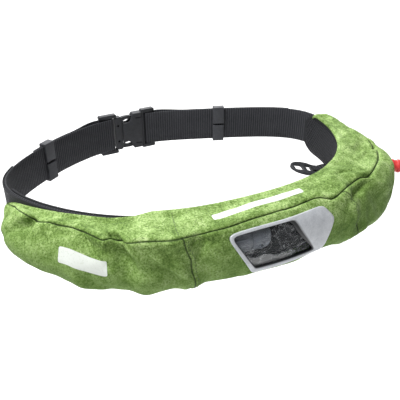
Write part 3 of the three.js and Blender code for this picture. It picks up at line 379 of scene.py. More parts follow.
def cover_profile(s, lid_rows, front_rows):
    """The cover's outline at places along the belt, from rim to hem: points
    (outward, up), the way out of the cloth, the distance below the lid's seam
    and the height before any fold."""
    at = along_pouch(s)
    inside = np.clip(at, 0, 1)
    thick = column("thick", inside) * POUCH_DEPTH
    bottom = -column("drop", inside) * POUCH_DROP
    full = column("full", inside)
    over = np.clip(column("over", inside), 0, 1)
    rim_x = COVER_IN + (PAD_IN - COVER_IN) * over
    rim_y = np.minimum(column("rim", inside), 1) * POUCH_TOP
    seam_x = column("seam", inside) * POUCH_DEPTH
    seam_y = column("seam_up", inside) * POUCH_TOP
    keel_x = COVER_IN + (thick - COVER_IN) * 0.45
    belly_y = bottom * 0.24
    hem_y = PAD_BOTTOM + GAP
    rise = np.maximum(0, seam_y - rim_y)
    crown = np.clip(0.16 * (seam_x - rim_x) - 0.3 * rise, 0, 5 * MM)

    def point(x, y):
        return np.stack(np.broadcast_arrays(x, y, at)[:2], axis=-1)

    lid = bezier(
        point(rim_x, rim_y),
        point(rim_x + (seam_x - rim_x) * 0.35, rim_y + crown + 0.35 * rise),
        point(rim_x + (seam_x - rim_x) * 0.75, seam_y + crown - 0.25 * rise),
        point(seam_x, seam_y))
    front = np.concatenate([
        bezier(
            point(seam_x, seam_y),
            point(seam_x + (thick - seam_x) * (0.35 + full / 2),
                  seam_y - (seam_y - belly_y) * (0.25 - 0.3 * full)),
            point(thick, belly_y + (seam_y - belly_y) * full),
            point(thick, belly_y)),
        bezier(
            point(thick, belly_y),
            point(thick, belly_y + (bottom - belly_y) * 0.62),
            point(keel_x + (thick - keel_x) * 0.62, bottom),
            point(keel_x, bottom))[:, 1:],
        bezier(
            point(keel_x, bottom),
            point(keel_x + (COVER_IN - keel_x) * 0.6, bottom),
            point(COVER_IN + (keel_x - COVER_IN) * 0.15, hem_y + (bottom - hem_y) * 0.3),
            point(COVER_IN, hem_y))[:, 1:]], axis=1)
    lid, lid_length = evenly(lid, lid_rows)
    front, front_length = evenly(front, front_rows)
    down_lid = np.linspace(-1, 0, lid_rows + 1)
    down_front = np.linspace(0, 1, front_rows + 1)[1:]
    below = np.concatenate([down_lid * lid_length, down_front * front_length], axis=1)
    fade = 4 * np.concatenate([1 + down_lid, 1 - down_front])
    profile = np.concatenate([lid, front[:, 1:]], axis=1)
    height = profile[..., 1].copy()
    along = unit(np.gradient(profile, axis=1))
    way = np.stack([-along[..., 1], along[..., 0]], axis=-1)
    pushed = fold_depth(at[:, None], below, FOLDS) * np.minimum(1, fade)
    return profile - way * pushed[..., None], way, below, height


# The cover's grid: rows from rim to hem, and columns from end to end with one
# on each upright seam. The simulated cloth is three times coarser.
FINER = 3
LID_ROWS = 10
FRONT_ROWS = 24
CLOTH_STEP = 3.75 * MM
END_OVER = 2.5 * MM
END_ROUND = 9 * MM
SEAM_ROW = LID_ROWS * FINER

# How far each upright seam lies from its middle place, by distance below the
# lid's seam, in millimetres
SEAM_SLANTS = (
    ((0, -5.5), (10, -3), (21, 0.8), (45, 3)),
    ((0, -9), (8, -4), (17, -1.5), (50, 2.5)),
)
SLANT_REACH = 24 * MM


def cover_columns(finer):
    """Places along the pouch, and the columns on its upright seams."""
    ends = (POUCH_LEFT_END - END_OVER, LEFT_SEAM, RIGHT_SEAM, POUCH_RIGHT_END + END_OVER)
    places, seams = [np.array(ends[:1])], []
    for start, stop in zip(ends, ends[1:]):
        count = round((stop - start) / CLOTH_STEP) * finer
        places.append(np.linspace(start, stop, count + 1)[1:])
        seams.append(sum(len(run) for run in places) - 1)
    return np.concatenate(places), seams[:2]


def window_place(s, height):
    """A place on the front as shares of half the window's width and height."""
    return (s - WINDOW_AT) * 2 / WINDOW_WIDTH, (height - WINDOW_UP) * 2 / WINDOW_HEIGHT


def window_reach(s, height):
    """How far a place lies from the window's middle: 1 at the window's edge."""
    x, y = window_place(s, height)
    return np.maximum(np.abs(x), np.abs(y))


def cover_points(finer):
    """The cover before simulation, with its ends rounded down to the belt."""
    s, seams = cover_columns(finer)
    profile, way, below, height = cover_profile(s, LID_ROWS * finer, FRONT_ROWS * finer)
    squeeze = rounded(from_ends(s), END_ROUND)[:, None]
    proud = np.maximum(profile[..., 0] - COVER_IN, 0)
    profile[..., 0] -= proud * (1 - squeeze)
    profile[..., 1] *= 0.85 + 0.15 * squeeze
    points = by_belt(s[:, None], profile[..., 0], profile[..., 1])
    return s, seams, points, below, height


def ripple(u, v, seed):
    """Smooth uneven waves between -1 and 1, about one for each unit."""
    knots = np.random.default_rng(seed).uniform(-1, 1, (64, 64))
    first_u, first_v = np.floor(u).astype(int), np.floor(v).astype(int)
    part_u, part_v = smooth(u - first_u), smooth(v - first_v)
    row = [
        knots[(first_u + k) % 64, first_v % 64] * (1 - part_v)
        + knots[(first_u + k) % 64, (first_v + 1) % 64] * part_v for k in range(2)]
    return row[0] * (1 - part_u) + row[1] * part_u


def slanted(field, s, seams, below):
    """A field of the grid again, where the columns lean as their seam does."""
    place = np.broadcast_to(s[:, None], below.shape).copy()
    for seam, slant in zip(seams, SEAM_SLANTS):
        depths, shifts = np.array(slant).T * MM
        reach = smooth(SLANT_REACH - np.abs(s - s[seam]), 0, SLANT_REACH)
        place += np.interp(below, depths, shifts) * reach[:, None]
    moved = np.empty_like(field)
    for row in range(field.shape[1]):
        for k in np.ndindex(field.shape[2:]):
            line = (slice(None), row) + k
            moved[line] = np.interp(place[:, row], s, field[line])
    return moved


def outward_of(points):
    """The way out of a grid of points."""
    right, down = np.gradient(points, axis=0), np.gradient(points, axis=1)
    return unit(np.cross(down, right))


def finer_grid(field, axis):
    """A grid with FINER steps for each of its own, on smooth curves."""
    field = np.moveaxis(field, axis, 0)
    wide = np.concatenate([2 * field[:1] - field[1:2], field, 2 * field[-1:] - field[-2:-1]])
    place = np.arange((len(field) - 1) * FINER + 1) / FINER
    first = np.minimum(place.astype(int), len(field) - 2)
    u = (place - first).reshape((-1,) + (1,) * (field.ndim - 1))
    a, b, c, d = (wide[first + k] for k in range(4))
    fine = b + 0.5 * u * (c - a + u * (2 * a - 5 * b + 4 * c - d + u * (3 * (b - c) + d - a)))
    return np.moveaxis(fine, 0, axis)


# Meshes

def select_only(*pieces):
    bpy.ops.object.select_all(action="DESELECT")
    for piece in pieces:
        piece.select_set(True)
    bpy.context.view_layer.objects.active = pieces[0]


def edit(piece):
    select_only(piece)
    bpy.ops.object.mode_set(mode="EDIT")
    bpy.ops.mesh.select_all(action="SELECT")


def face_outward(piece):
    edit(piece)
    bpy.ops.mesh.normals_make_consistent(inside=False)
    bpy.ops.object.mode_set(mode="OBJECT")


def apply_transform():
    bpy.ops.object.transform_apply(location=True, rotation=True, scale=True)


def primitive(add, name, scale=(1, 1, 1), **settings):
    """One of Blender's primitives, with its place and size kept by its mesh."""
    bpy.ops.object.select_all(action="DESELECT")
    add(**settings)
    piece = bpy.context.object
    piece.name = name
    piece.scale = scale
    apply_transform()
    return piece


def carry(mesh, attribute, values):
    """Gives each point of a mesh a place that materials can read."""
    layer = mesh.attributes.new(attribute, "FLOAT_VECTOR", "POINT")
    layer.data.foreach_set("vector", np.ascontiguousarray(values, dtype=np.float32).ravel())


def new_piece(name, vertices, faces, attributes=None):
    mesh = bpy.data.meshes.new(name)
    mesh.from_pydata(vertices, [], faces)
    for attribute, values in (attributes or {}).items():
        carry(mesh, attribute, values)
    piece = bpy.data.objects.new(name, mesh)
    bpy.context.collection.objects.link(piece)
    mesh.shade_smooth()
    return piece


def skin(name, points, attributes=None, keep=None, capped=False):
    """A mesh of a grid of points, which faces the way that its columns turn
    right of its rows. Where it is capped, its last row joins its first, and
    caps close its first and last column."""
    columns, rows = points.shape[:2]
    index = np.arange(columns * rows).reshape(columns, rows)
    if capped:
        index = np.concatenate([index, index[:, :1]], axis=1)
    faces = np.stack([index[:-1, :-1], index[:-1, 1:], index[1:, 1:], index[1:, :-1]], axis=-1)
    if keep is not None:
        faces = faces[keep]
    faces = faces.reshape(-1, 4).tolist()
    if capped:
        faces += [index[0, :rows].tolist()[::-1], index[-1, :rows].tolist()]
    flat = {key: value.reshape(-1, 3) for key, value in (attributes or {}).items()}
    piece = new_piece(name, points.reshape(-1, 3).tolist(), faces, flat)
    if keep is not None:
        edit(piece)
        bpy.ops.mesh.delete_loose()
        bpy.ops.object.mode_set(mode="OBJECT")
    if capped:
        face_outward(piece)
    return piece


def finish_modifier(piece, kind, **settings):
    """A modifier, applied."""
    modifier = piece.modifiers.new(kind.lower(), kind)
    for key, value in settings.items():
        setattr(modifier, key, value)
    select_only(piece)
    bpy.ops.object.modifier_apply(modifier=modifier.name)


def thicken(piece, wall):
    """Gives a skin a wall under its outer face."""
    finish_modifier(piece, "SOLIDIFY", thickness=wall, offset=-1)


# The cloth of the cover. Its plain reflective patches are a strip on the lid
# and a block in front, as middles and half sizes along and below.
STRIP = {"along": -1 * MM, "below": -15 * MM, "half_along": 44 * MM, "half_below": 3.4 * MM}
BLOCK = {"along": -137 * MM, "below": 25 * MM, "half_along": 17 * MM, "half_below": 7 * MM}
PATCH_ROUND = 1.6 * MM

CLOTH_PRESSURE = 3.0
CLOTH_SPARE = 0.03
CLOTH_MOVES_UP_TO = 3.5 * MM
CLOTH_FRAMES = 20
CLOTH_SUNK = 2.4 * MM
CLOTH_BLURS = 2
SEAM_HELD = 0.8

# How far the cloth's fine detail stands out
SEAM_VALLEY = 0.8 * MM
SEAM_SWELL = 0.35 * MM
SEAM_PUCKERS = 0.5 * MM
HEM_VALLEY = 0.6 * MM
LONG_WAVES = 1.1 * MM
SHORT_WAVES = 0.5 * MM


def cloth_pins(s, seams, below, height):
    """How firmly each point of the cloth is held, from 0 to 1."""
    pins = np.zeros(height.shape)
    pins[:, (0, 1, -1)] = 1
    by_strip = ((np.abs(s[:, None] - STRIP["along"]) < STRIP["half_along"] + 8 * MM)
                & (np.abs(below - STRIP["below"]) < STRIP["half_below"] + 4 * MM))
    pins[by_strip] = SEAM_HELD
    pins[(0, 1, -2, -1), :] = 1
    pins[:, LID_ROWS] = SEAM_HELD
    for seam in seams:
        pins[seam, LID_ROWS:] = SEAM_HELD
    by_window = window_reach(s[:, None], height) < 1.12
    by_knob = np.hypot(s[:, None] - KNOB_AT, height - KNOB_UP) < 1.3 * KNOB_RADIUS
    on_front = np.arange(height.shape[1])[None, :] > LID_ROWS
    pins[(by_window | by_knob) & on_front] = 1
    return pins


def blurred(field):
    wide = np.pad(field, 1, mode="edge")
    columns = wide[:-2] + 2 * wide[1:-1] + wide[2:]
    return (columns[:, :-2] + 2 * columns[:, 1:-1] + columns[:, 2:]) / 16


def filled_out(points, pins):
    """How the cloth moves when the pouch is filled: its spare length wrinkles
    between the seams."""
    piece = skin("cover_cloth", points)
    group = piece.vertex_groups.new(name="pins")
    for index, weight in enumerate(pins.ravel()):
        if weight > 0:
            group.add([index], float(weight), "REPLACE")
    cloth = piece.modifiers.new("cloth", "CLOTH")
    cloth.settings.quality = 6
    cloth.settings.mass = 0.15
    cloth.settings.tension_stiffness = 15
    cloth.settings.compression_stiffness = 15
    cloth.settings.shear_stiffness = 5
    cloth.settings.bending_stiffness = 0.3
    cloth.settings.use_pressure = True
    cloth.settings.uniform_pressure_force = CLOTH_PRESSURE
    cloth.settings.vertex_group_mass = "pins"
    cloth.settings.shrink_min = -CLOTH_SPARE
    cloth.settings.effector_weights.gravity = 0
    cloth.point_cache.frame_start = 1
    cloth.point_cache.frame_end = CLOTH_FRAMES
    for step in range(1, CLOTH_FRAMES + 1):
        bpy.context.scene.frame_set(step)
    shaped = piece.evaluated_get(bpy.context.evaluated_depsgraph_get())
    moved = np.empty(len(shaped.data.vertices) * 3)
    shaped.data.vertices.foreach_get("co", moved)
    bpy.context.scene.frame_set(1)
    bpy.data.objects.remove(piece)
    move = np.sum((moved.reshape(points.shape) - points) * outward_of(points), axis=-1)
    for _ in range(CLOTH_BLURS):
        move = blurred(move)
    return np.clip(move, -CLOTH_MOVES_UP_TO, CLOTH_MOVES_UP_TO)


def seam_distances(along, seams, below):
    """How far a place lies from the lid's seam and, in front, from the nearer
    upright seam."""
    to_side = np.min([np.abs(along - seam) for seam in seams], axis=0)
    return np.abs(below), np.where(below > 0, to_side, 1)


def details(s, seams, below, height):
    """How far the cloth stands out in its fine detail: the seams' valleys,
    puckers beside them, creases and loose waves."""
    along = np.broadcast_to(s[:, None], below.shape)
    to_lid, to_side = seam_distances(along, s[seams], below)
    nearest = np.minimum(to_lid, to_side)
    seam = SEAM_SWELL * ridge(nearest - 3.4 * MM, 2 * MM) - SEAM_VALLEY * ridge(nearest, 0.6 * MM)
    hem = HEM_VALLEY * ridge(s[-1] - along - 9 * MM, 0.9 * MM)
    puckers = (np.exp(-to_lid / (8 * MM)) * ripple(along / (7 * MM), below / (25 * MM), 3)
               + np.exp(-to_side / (7 * MM)) * ripple(along / (25 * MM), below / (7 * MM), 4))
    waves = (LONG_WAVES * ripple(along / (26 * MM), below / (17 * MM), 5)
             + SHORT_WAVES * ripple(along / (11 * MM) + below / (20 * MM), below / (9 * MM), 6))
    sunk = CLOTH_SUNK * smooth(nearest, 0, 14 * MM) + fold_depth(along_pouch(along), below, CREASES)
    calm = np.where(below > 0, smooth(window_reach(along, height), 1.05, 1.35), 1)
    calm = calm * smooth(np.hypot(along - KNOB_AT, height - KNOB_UP), 8 * MM, 14 * MM)
    return seam - hem + (SEAM_PUCKERS * puckers + waves - sunk) * calm


cloth_s, cloth_seams, cloth_points, cloth_below, cloth_height = cover_points(1)
cover_s, cover_seams, cover_grid, BELOW, HEIGHT = cover_points(FINER)
cloth_move = filled_out(
    cloth_points, cloth_pins(cloth_s, cloth_seams, cloth_below, cloth_height))
cloth_move = finer_grid(finer_grid(cloth_move, 0), 1)
cover_grid = cover_grid + outward_of(cover_grid) * cloth_move[..., None]
cover_details = details(cover_s, cover_seams, BELOW, HEIGHT)
cover_details *= smooth(from_ends(cover_s), 0, 8 * MM)[:, None]
cover_details *= smooth(from_ends(np.arange(BELOW.shape[1])), 0, 6)
cover_grid = cover_grid + outward_of(cover_grid) * cover_details[..., None]
cover_grid = slanted(cover_grid, cover_s, cover_seams, BELOW)
HEIGHT = slanted(HEIGHT, cover_s, cover_seams, BELOW)
COVER_OUT = outward_of(cover_grid)


def on_cover(s, row, proud=0.0):
    """A point of the finished cover, by its place along and its row, and the
    way out there."""
    i = np.interp(s, cover_s, np.arange(len(cover_s)))
    i0 = np.clip(np.floor(i).astype(int), 0, len(cover_s) - 2)
    j0 = np.clip(np.floor(row).astype(int), 0, cover_grid.shape[1] - 2)
    u, v = (i - i0)[..., None], (row - j0)[..., None]

    def between(field):
        return ((1 - u) * ((1 - v) * field[i0, j0] + v * field[i0, j0 + 1])
                + u * ((1 - v) * field[i0 + 1, j0] + v * field[i0 + 1, j0 + 1]))

    way = between(COVER_OUT)
    return between(cover_grid) + way * np.expand_dims(proud, -1), way


def row_at(s, value, field, first=0, last=None):
    """The row where a falling or rising column of a field has a value."""
    i = np.rint(np.interp(s, cover_s, np.arange(len(cover_s)))).astype(int)
    rows = np.arange(field.shape[1])[first:last]
    sign = np.sign(field[0, first + 1] - field[0, first])
    found = [np.interp(sign * v, sign * field[k, first:last], rows)
             for k, v in zip(i.ravel(), np.broadcast_to(value, i.shape).ravel())]
    return np.array(found).reshape(i.shape)


FRONT_MIDDLE_ROW = SEAM_ROW + int(0.55 * FRONT_ROWS * FINER)


def by_window(x, y, proud):
    """Points at shares of the window's half width and half height."""
    s = WINDOW_AT + x * WINDOW_WIDTH / 2
    height = WINDOW_UP + y * WINDOW_HEIGHT / 2
    return on_cover(s, row_at(s, height, HEIGHT, SEAM_ROW, FRONT_MIDDLE_ROW), proud)[0]


# The frame's outer corners and the corners of its opening, in those shares
FRAME_CORNERS = np.array((
    (-1, 0.91, -0.92, 0.82), (-0.9, 1.01, -0.875, 0.88), (0.79, 1.02, 0.12, 0.9),
    (0.85, 0.95, 0.16, 0.8), (1, 0.46, 0.27, 0.28), (0.83, -0.97, 0.62, -0.76),
    (-0.56, -0.99, -0.49, -0.75), (-0.6, -0.82, -0.53, -0.7),
))
FRAME_STEPS = (3, 34, 4, 8, 18, 34, 4, 18)
PANEL_CUT = 0.45


def window_opening(x, y, share):
    """Where a place lies inside the line that is this share of the way from
    the frame's opening to its outer edge."""
    corners = FRAME_CORNERS[:, 2:] * (1 - share) + FRAME_CORNERS[:, :2] * share
    inside = np.ones(x.shape, bool)
    for (ax, ay), (bx, by) in zip(corners, np.roll(corners, -1, axis=0)):
        inside &= (bx - ax) * (y - ay) - (by - ay) * (x - ax) < 0
    return inside


def cover_panel(name, first_column, last_column, first_row, last_row):
    """A panel of the cover, with its wall, and the places that the printed patches,
    the painted shade low on the front and the painted shade at the seams follow."""
    part = np.s_[first_column:last_column + 1, first_row:last_row + 1]
    points = cover_grid[part]
    along = np.broadcast_to(cover_s[:, None], BELOW.shape)[part]
    nearest = np.minimum(*seam_distances(along, cover_s[cover_seams], BELOW[part]))
    cloth = np.stack([along, BELOW[part], nearest], axis=-1)
    x, y = window_place(along, HEIGHT[part])
    keep = None
    if name == "cover_front_middle":
        cut = window_opening(x, y, PANEL_CUT)
        keep = ~(cut[:-1, :-1] | cut[1:, :-1] | cut[:-1, 1:] | cut[1:, 1:])
    panel = skin(name + "_cloth", points, {"cloth": cloth}, keep)
    thicken(panel, COVER_WALL)
    return panel


def curled_rim():
    """The lid's rim, rolled over the belt's top edge, as rows before the lid."""
    over = np.clip(column("over", np.clip(along_pouch(cover_s), 0, 1)), 0, 1)
    radius = (0.35 * MM + 1.5 * MM * over)[:, None, None]
    rim = cover_grid[:, 0]
    back = unit(rim - cover_grid[:, 3])
    up = unit(np.array((0, 0, 1.0)) - back * back[:, 2:])
    turn = np.linspace(radians(150), 0, 8)[None, :-1, None]
    return rim[:, None] + radius * (back[:, None] * np.sin(turn) - up[:, None] * (1 - np.cos(turn)))


# Materials, and the pitch of the webbing's ribs, the yarns and the mesh's cells

RIB_PITCH = 2.7 * MM
YARN_PITCH = 0.9 * MM
MESH_PITCH = 3.2 * MM


def colour(levels):
    """A colour as a screen shows it, in linear light."""
    levels = [value / 255 for value in levels]
    return tuple(v / 12.92 if v < 0.04045 else ((v + 0.055) / 1.055) ** 2.4 for v in levels) + (1,)


class Value:
    """A number or colour that a material's nodes work out."""

    def __init__(self, finish, socket):
        self.finish, self.socket = finish, socket

    def __add__(self, other):
        return self.finish.maths("ADD", self, other)

    def __sub__(self, other):
        return self.finish.maths("SUBTRACT", self, other)

    def __mul__(self, other):
        return self.finish.maths("MULTIPLY", self, other)

    def __abs__(self):
        return self.finish.maths("ABSOLUTE", self)


class Finish:
    """A procedural material, built node by node. Colours are screen levels."""

    def __init__(self, name, **sockets):
        self.material = bpy.data.materials.new(name)
        self.material.use_nodes = True
        self.tree = self.material.node_tree
        self.shader = self.tree.nodes["Principled BSDF"]
        for key, value in sockets.items():
            self.put(self.shader, key.replace("_", " ").title().replace("Ior", "IOR"), value)
        self.place = self.node("TexCoord", output="Object")

    def put(self, node, socket, value):
        if isinstance(value, Value):
            self.tree.links.new(value.socket, node.inputs[socket])
        else:
            node.inputs[socket].default_value = colour(value) if isinstance(value, tuple) else value

    def node(self, kind, sockets=None, output=0, **settings):
        made = self.tree.nodes.new("ShaderNode" + kind)
        for key, value in settings.items():
            setattr(made, key, value)
        for key, value in (sockets or {}).items():
            self.put(made, key, value)
        return Value(self, made.outputs[output])

    def maths(self, operation, a, b=0.0):
        return self.node("Math", {0: a, 1: b}, operation=operation)

    def larger(self, a, b):
        return self.maths("MAXIMUM", a, b)

    def noise(self, size, detail=2.0, roughness=0.5):
        return self.node("TexNoise", {"Vector": self.place, "Scale": 1 / size, "Detail": detail,
                                      "Roughness": roughness})

    def lines(self, size, detail, roughness, width):
        """Thin winding lines, 1 along their middles."""
        return self.level(abs(self.noise(size, detail, roughness) - 0.5), 0, width, 1, 0)

    def level(self, value, low, high, to_low=0.0, to_high=1.0):
        """A value spread from one range to another."""
        return self.node("MapRange", {"Value": value, "From Min": low, "From Max": high,
                                      "To Min": to_low, "To Max": to_high})

    def mix(self, share, a, b):
        return self.node("Mix", {0: share, 6: a, 7: b}, 2, data_type="RGBA")

    def ramp(self, value, *stops):
        made = self.node("ValToRGB", {"Fac": value})
        elements = made.socket.node.color_ramp.elements
        while len(elements) < len(stops):
            elements.new(0.5)
        for element, (place, tint) in zip(elements, stops):
            element.position = place
            element.color = colour(tint)
        return made

    def carried(self, name):
        """The three parts of a place that the mesh carries."""
        place = self.node("Attribute", output="Vector", attribute_name=name)
        parts = self.node("SeparateXYZ", {0: place}).socket.node
        return [Value(self, part) for part in parts.outputs]

    def wave(self, value, pitch):
        """A rounded ridge for each pitch, from 0 to 1."""
        return abs(self.maths("SINE", value * (pi / pitch)))

    def done(self, tint, bumps, depth, **sockets):
        """The material, once its colour, its bumps and the rest are set."""
        bump = self.node("Bump", {"Height": bumps, "Distance": depth})
        for socket, value in {"Base Color": tint, "Normal": bump, **sockets}.items():
            self.put(self.shader, socket, value)
        return self.material


def printed_cloth():
    m = Finish("printed_cloth", roughness=0.85, sheen_weight=0.02, specular_ior_level=0.22)
    along, below, to_seam = m.carried("cloth")
    blotches, mottle = m.noise(30 * MM, 4, 0.55), m.noise(9 * MM, 4, 0.65)
    speckle = m.noise(1.7 * MM, 3, 0.7)
    tint = m.ramp(blotches * 0.32 + (speckle * 0.38 + mottle * 0.3), (0.38, (66, 92, 34)),
                  (0.46, (107, 136, 64)), (0.54, (150, 178, 106)), (0.64, (188, 209, 146)))
    flecks = m.level(m.noise(1.4 * MM, 2, 0.7), 0.53, 0.62, 0, 0.75)
    tint = m.mix(flecks, tint, (68, 92, 36))
    # Painted shade: the front grows darker further below the lid's seam, towards its underside.
    tint = m.mix(m.level(below, 3 * MM, 46 * MM, 0, 0.6), tint, (84, 114, 46))
    # Painted shade in the seams' valleys: the cloth is darker within about a millimetre of each seam.
    seam_shade = m.level(to_seam, 0.2 * MM, 0.9 * MM, 0.85, 0)
    tint = m.mix(seam_shade, tint, (44, 62, 26))

    def patch(place):
        """1 inside a patch with rounded corners."""
        over = [m.larger(abs(value - place[name]) - (place["half_" + name] - PATCH_ROUND), 0)
                for value, name in ((along, "along"), (below, "below"))]
        reach = m.maths("SQRT", over[0] * over[0] + over[1] * over[1])
        return m.maths("LESS_THAN", reach, PATCH_ROUND)

    worn = m.larger(patch(STRIP), patch(BLOCK)) * m.level(speckle, 0.3, 0.45, 0.8, 1)
    return m.done(m.mix(worn, tint, (222, 227, 220)), m.noise(0.55 * MM, 2, 0.6) + speckle * 1.4,
                  0.16 * MM, Roughness=m.level(worn, 0, 1, 0.82, 0.45))


def webbing():
    m = Finish("webbing", roughness=0.75, sheen_weight=0.05, specular_ior_level=0.25)
    along, up, _ = m.carried("belt")
    fuzz = m.noise(0.8 * MM, 3, 0.7)
    tint = m.ramp(m.wave(along, RIB_PITCH) * 0.55 + fuzz * 0.45,
                  (0.2, (20, 21, 23)), (0.55, (39, 40, 44)), (0.85, (60, 61, 66)))
    worn = m.level(m.noise(22 * MM, 3, 0.6), 0.5, 0.75, 0, 0.3)
    return m.done(m.mix(worn, tint, (62, 63, 67)), m.wave(up, YARN_PITCH) * 0.6 + fuzz, 0.25 * MM)


def black_cloth():
    m = Finish("black_cloth", roughness=0.8, sheen_weight=0.05, specular_ior_level=0.25)
    along, up, to_edge = m.carried("belt")
    weave = m.wave(along, YARN_PITCH) * m.wave(up, YARN_PITCH)
    fuzz = m.noise(1.4 * MM, 3, 0.65)
    tint = m.ramp(weave * 0.4 + fuzz * 0.6, (0.25, (26, 27, 30)), (0.75, (54, 55, 60)))
    tape = m.level(to_edge, 3.2 * MM, 3.6 * MM, 0.45, 0)
    return m.done(m.mix(tape, tint, (28, 29, 31)), weave + fuzz, 0.2 * MM)


def spacer_mesh():
    m = Finish("spacer_mesh", roughness=0.85, specular_ior_level=0.25)
    along, up, to_edge = m.carried("belt")
    cells = m.wave(along + up * 0.58, MESH_PITCH) * m.wave(along - up * 0.58, MESH_PITCH)
    pad = m.level(to_edge, 4 * MM, 4.6 * MM)
    holes = m.level(cells, 0.3, 0.6) * pad
    fuzz = m.noise(1.1 * MM, 3, 0.65)
    tint = m.ramp(fuzz, (0.3, (31, 32, 35)), (0.7, (57, 58, 62)))
    # Painted shade: the mesh's holes are darkened in colour, and the bump also sinks them.
    tint = m.mix(holes * 0.9, tint, (14, 15, 16))
    return m.done(m.mix(m.level(pad, 1, 0, 0, 0.8), tint, (34, 35, 37)), fuzz * 0.4 - holes, 0.7 * MM)


def moulded(name, dark, light, roughness):
    """Moulded plastic, with a fine grain and faint scuffs."""
    m = Finish(name, roughness=roughness, specular_ior_level=0.3)
    fine, scuffs = m.noise(0.9 * MM, 3, 0.6), m.noise(7 * MM, 6, 0.75)
    return m.done(m.ramp(fine * 0.35 + scuffs * 0.65, (0.35, dark), (0.68, light)), fine, 0.05 * MM,
                  Roughness=m.level(scuffs, 0.3, 0.7, roughness - 0.08, roughness + 0.12))


def framed_edge():
    """The window's frame: pale grey, with a dark inner border."""
    m = Finish("frame_grey", roughness=0.38, coat_weight=0.15)
    across, _, _ = m.carried("band")
    fine, scuffs = m.noise(1.2 * MM, 3, 0.6), m.noise(9 * MM, 5, 0.7)
    tint = m.ramp(fine * 0.4 + scuffs * 0.6, (0.35, (176, 180, 186)), (0.65, (208, 211, 215)))
    return m.done(m.mix(m.level(across, 0.86, 0.92), tint, (30, 31, 33)), fine, 0.05 * MM,
                  Roughness=m.level(scuffs, 0.3, 0.7, 0.3, 0.5))


def clear_film():
    """Thin clear film with painted highlights along its creases, and a paler patch."""
    m = Finish("clear_film", roughness=0.12, coat_weight=0.3)
    across, up, _ = m.carried("film")
    edge = up + across * 0.35 + m.noise(10 * MM) * 0.4
    patch = m.level(edge, -0.18, -0.3) * m.level(across, 0.3, 0.05)
    # Painted highlights: pale winding lines along the film's creases, more opaque than the film round
    # them.
    scribbled_highlight = m.lines(7 * MM, 1, 0.35, 0.014) * m.level(m.noise(14 * MM), 0.42, 0.6)
    lines = m.larger(m.lines(13 * MM, 2, 0.5, 0.012) * 0.5, scribbled_highlight)
    tint = m.mix(lines, m.mix(patch, (170, 176, 180), (132, 134, 134)), (236, 238, 240))
    return m.done(tint, m.noise(13 * MM, 2, 0.5) + lines * 0.3, 0.6 * MM,
                  Alpha=m.larger(m.level(lines, 0, 1, 0.04, 0.5), patch * 0.7))


def coated_fabric():
    """The bladder's rubbery cloth."""
    m = Finish("black_bladder", roughness=0.42)
    wear = m.noise(6 * MM, 5, 0.7)
    tint = m.ramp(wear, (0.3, (20, 21, 23)), (0.7, (42, 43, 46)))
    # Painted highlights: pale winding lines along the bladder's folds.
    tint = m.mix(m.lines(18 * MM, 1, 0.4, 0.012) * 0.5, tint, (140, 142, 146))
    return m.done(tint, m.noise(0.9 * MM), 0.08 * MM, Roughness=m.level(wear, 0.3, 0.7, 0.34, 0.55))


def thread(name, dark, light):
    m = Finish(name, roughness=0.65, sheen_weight=0.2)
    twist = m.noise(0.5 * MM, 2, 0.6)
    return m.done(m.ramp(twist, (0.3, dark), (0.7, light)), twist, 0.08 * MM)


def pale_floor():
    m = Finish("floor", roughness=0.75)
    cloud = m.noise(0.6)
    return m.done(m.ramp(cloud, (0.3, (247, 247, 247)), (0.7, (251, 251, 251))), cloud, 0.0)


FINISHES = {
    "printed_cloth": printed_cloth(),
    "black_webbing": webbing(),
    "black_cloth": black_cloth(),
    "black_mesh": spacer_mesh(),
    "black_plastic": moulded("black_plastic", (38, 39, 42), (58, 59, 63), 0.62),
    "keeper_plastic": moulded("keeper_plastic", (50, 51, 55), (70, 71, 76), 0.58),
    "grey_inflator": moulded("grey_inflator", (88, 93, 100), (118, 124, 132), 0.4),
    "red_knob": moulded("red_knob", (196, 52, 54), (222, 78, 74), 0.38),
    "grey_frame": framed_edge(),
    "clear_film": clear_film(),
    "black_bladder": coated_fabric(),
    "pale_thread": thread("pale_thread", (58, 80, 32), (86, 110, 52)),
    "black_thread": thread("black_thread", (52, 53, 56), (88, 89, 92)),
}


def fit(piece, slot, finish=None, nodes=()):
    """Gives a piece its finish, hangs it on the root's empty and hides the CAD parts that it stands for.
    """
    piece.data.materials.clear()
    piece.data.materials.append(FINISHES[finish or slot])
    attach(piece, "root")
    if nodes:
        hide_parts(*nodes)
    return piece


# The cover's panels

last_column = len(cover_s) - 1
last_row = cover_grid.shape[1] - 1
PANELS = (
    ("cover_front_left", 0, cover_seams[0], SEAM_ROW, last_row),
    ("cover_front_middle", cover_seams[0], cover_seams[1], SEAM_ROW, last_row),
    ("cover_front_right", cover_seams[1], last_column, SEAM_ROW, last_row),
)
for node, *part in PANELS:
    panel = fit(cover_panel(node, *part), "printed_cloth", nodes=[node])


def lid_panel():
    """The lid, from its rolled rim to its seam."""
    curl = curled_rim()
    points = np.concatenate([curl, cover_grid[:, :SEAM_ROW + 1]], axis=1)
    along = np.broadcast_to(cover_s[:, None], points.shape[:2])
    rolled = np.repeat(BELOW[:, :1], curl.shape[1], axis=1)
    below = np.concatenate([rolled, BELOW[:, :SEAM_ROW + 1]], axis=1)
    cloth = np.stack([along, below, np.abs(below)], axis=-1)
    lid = skin("cover_top_cloth", points, {"cloth": cloth})
    thicken(lid, COVER_WALL)
    return lid


fit(lid_panel(), "printed_cloth", nodes=["cover_top"])


# The window

FRAME_WALL = 0.7 * MM
FILM_THICKNESS = 0.3 * MM
FILM_LAP = 1.8 * MM
FILM_SUNK = 1.1 * MM


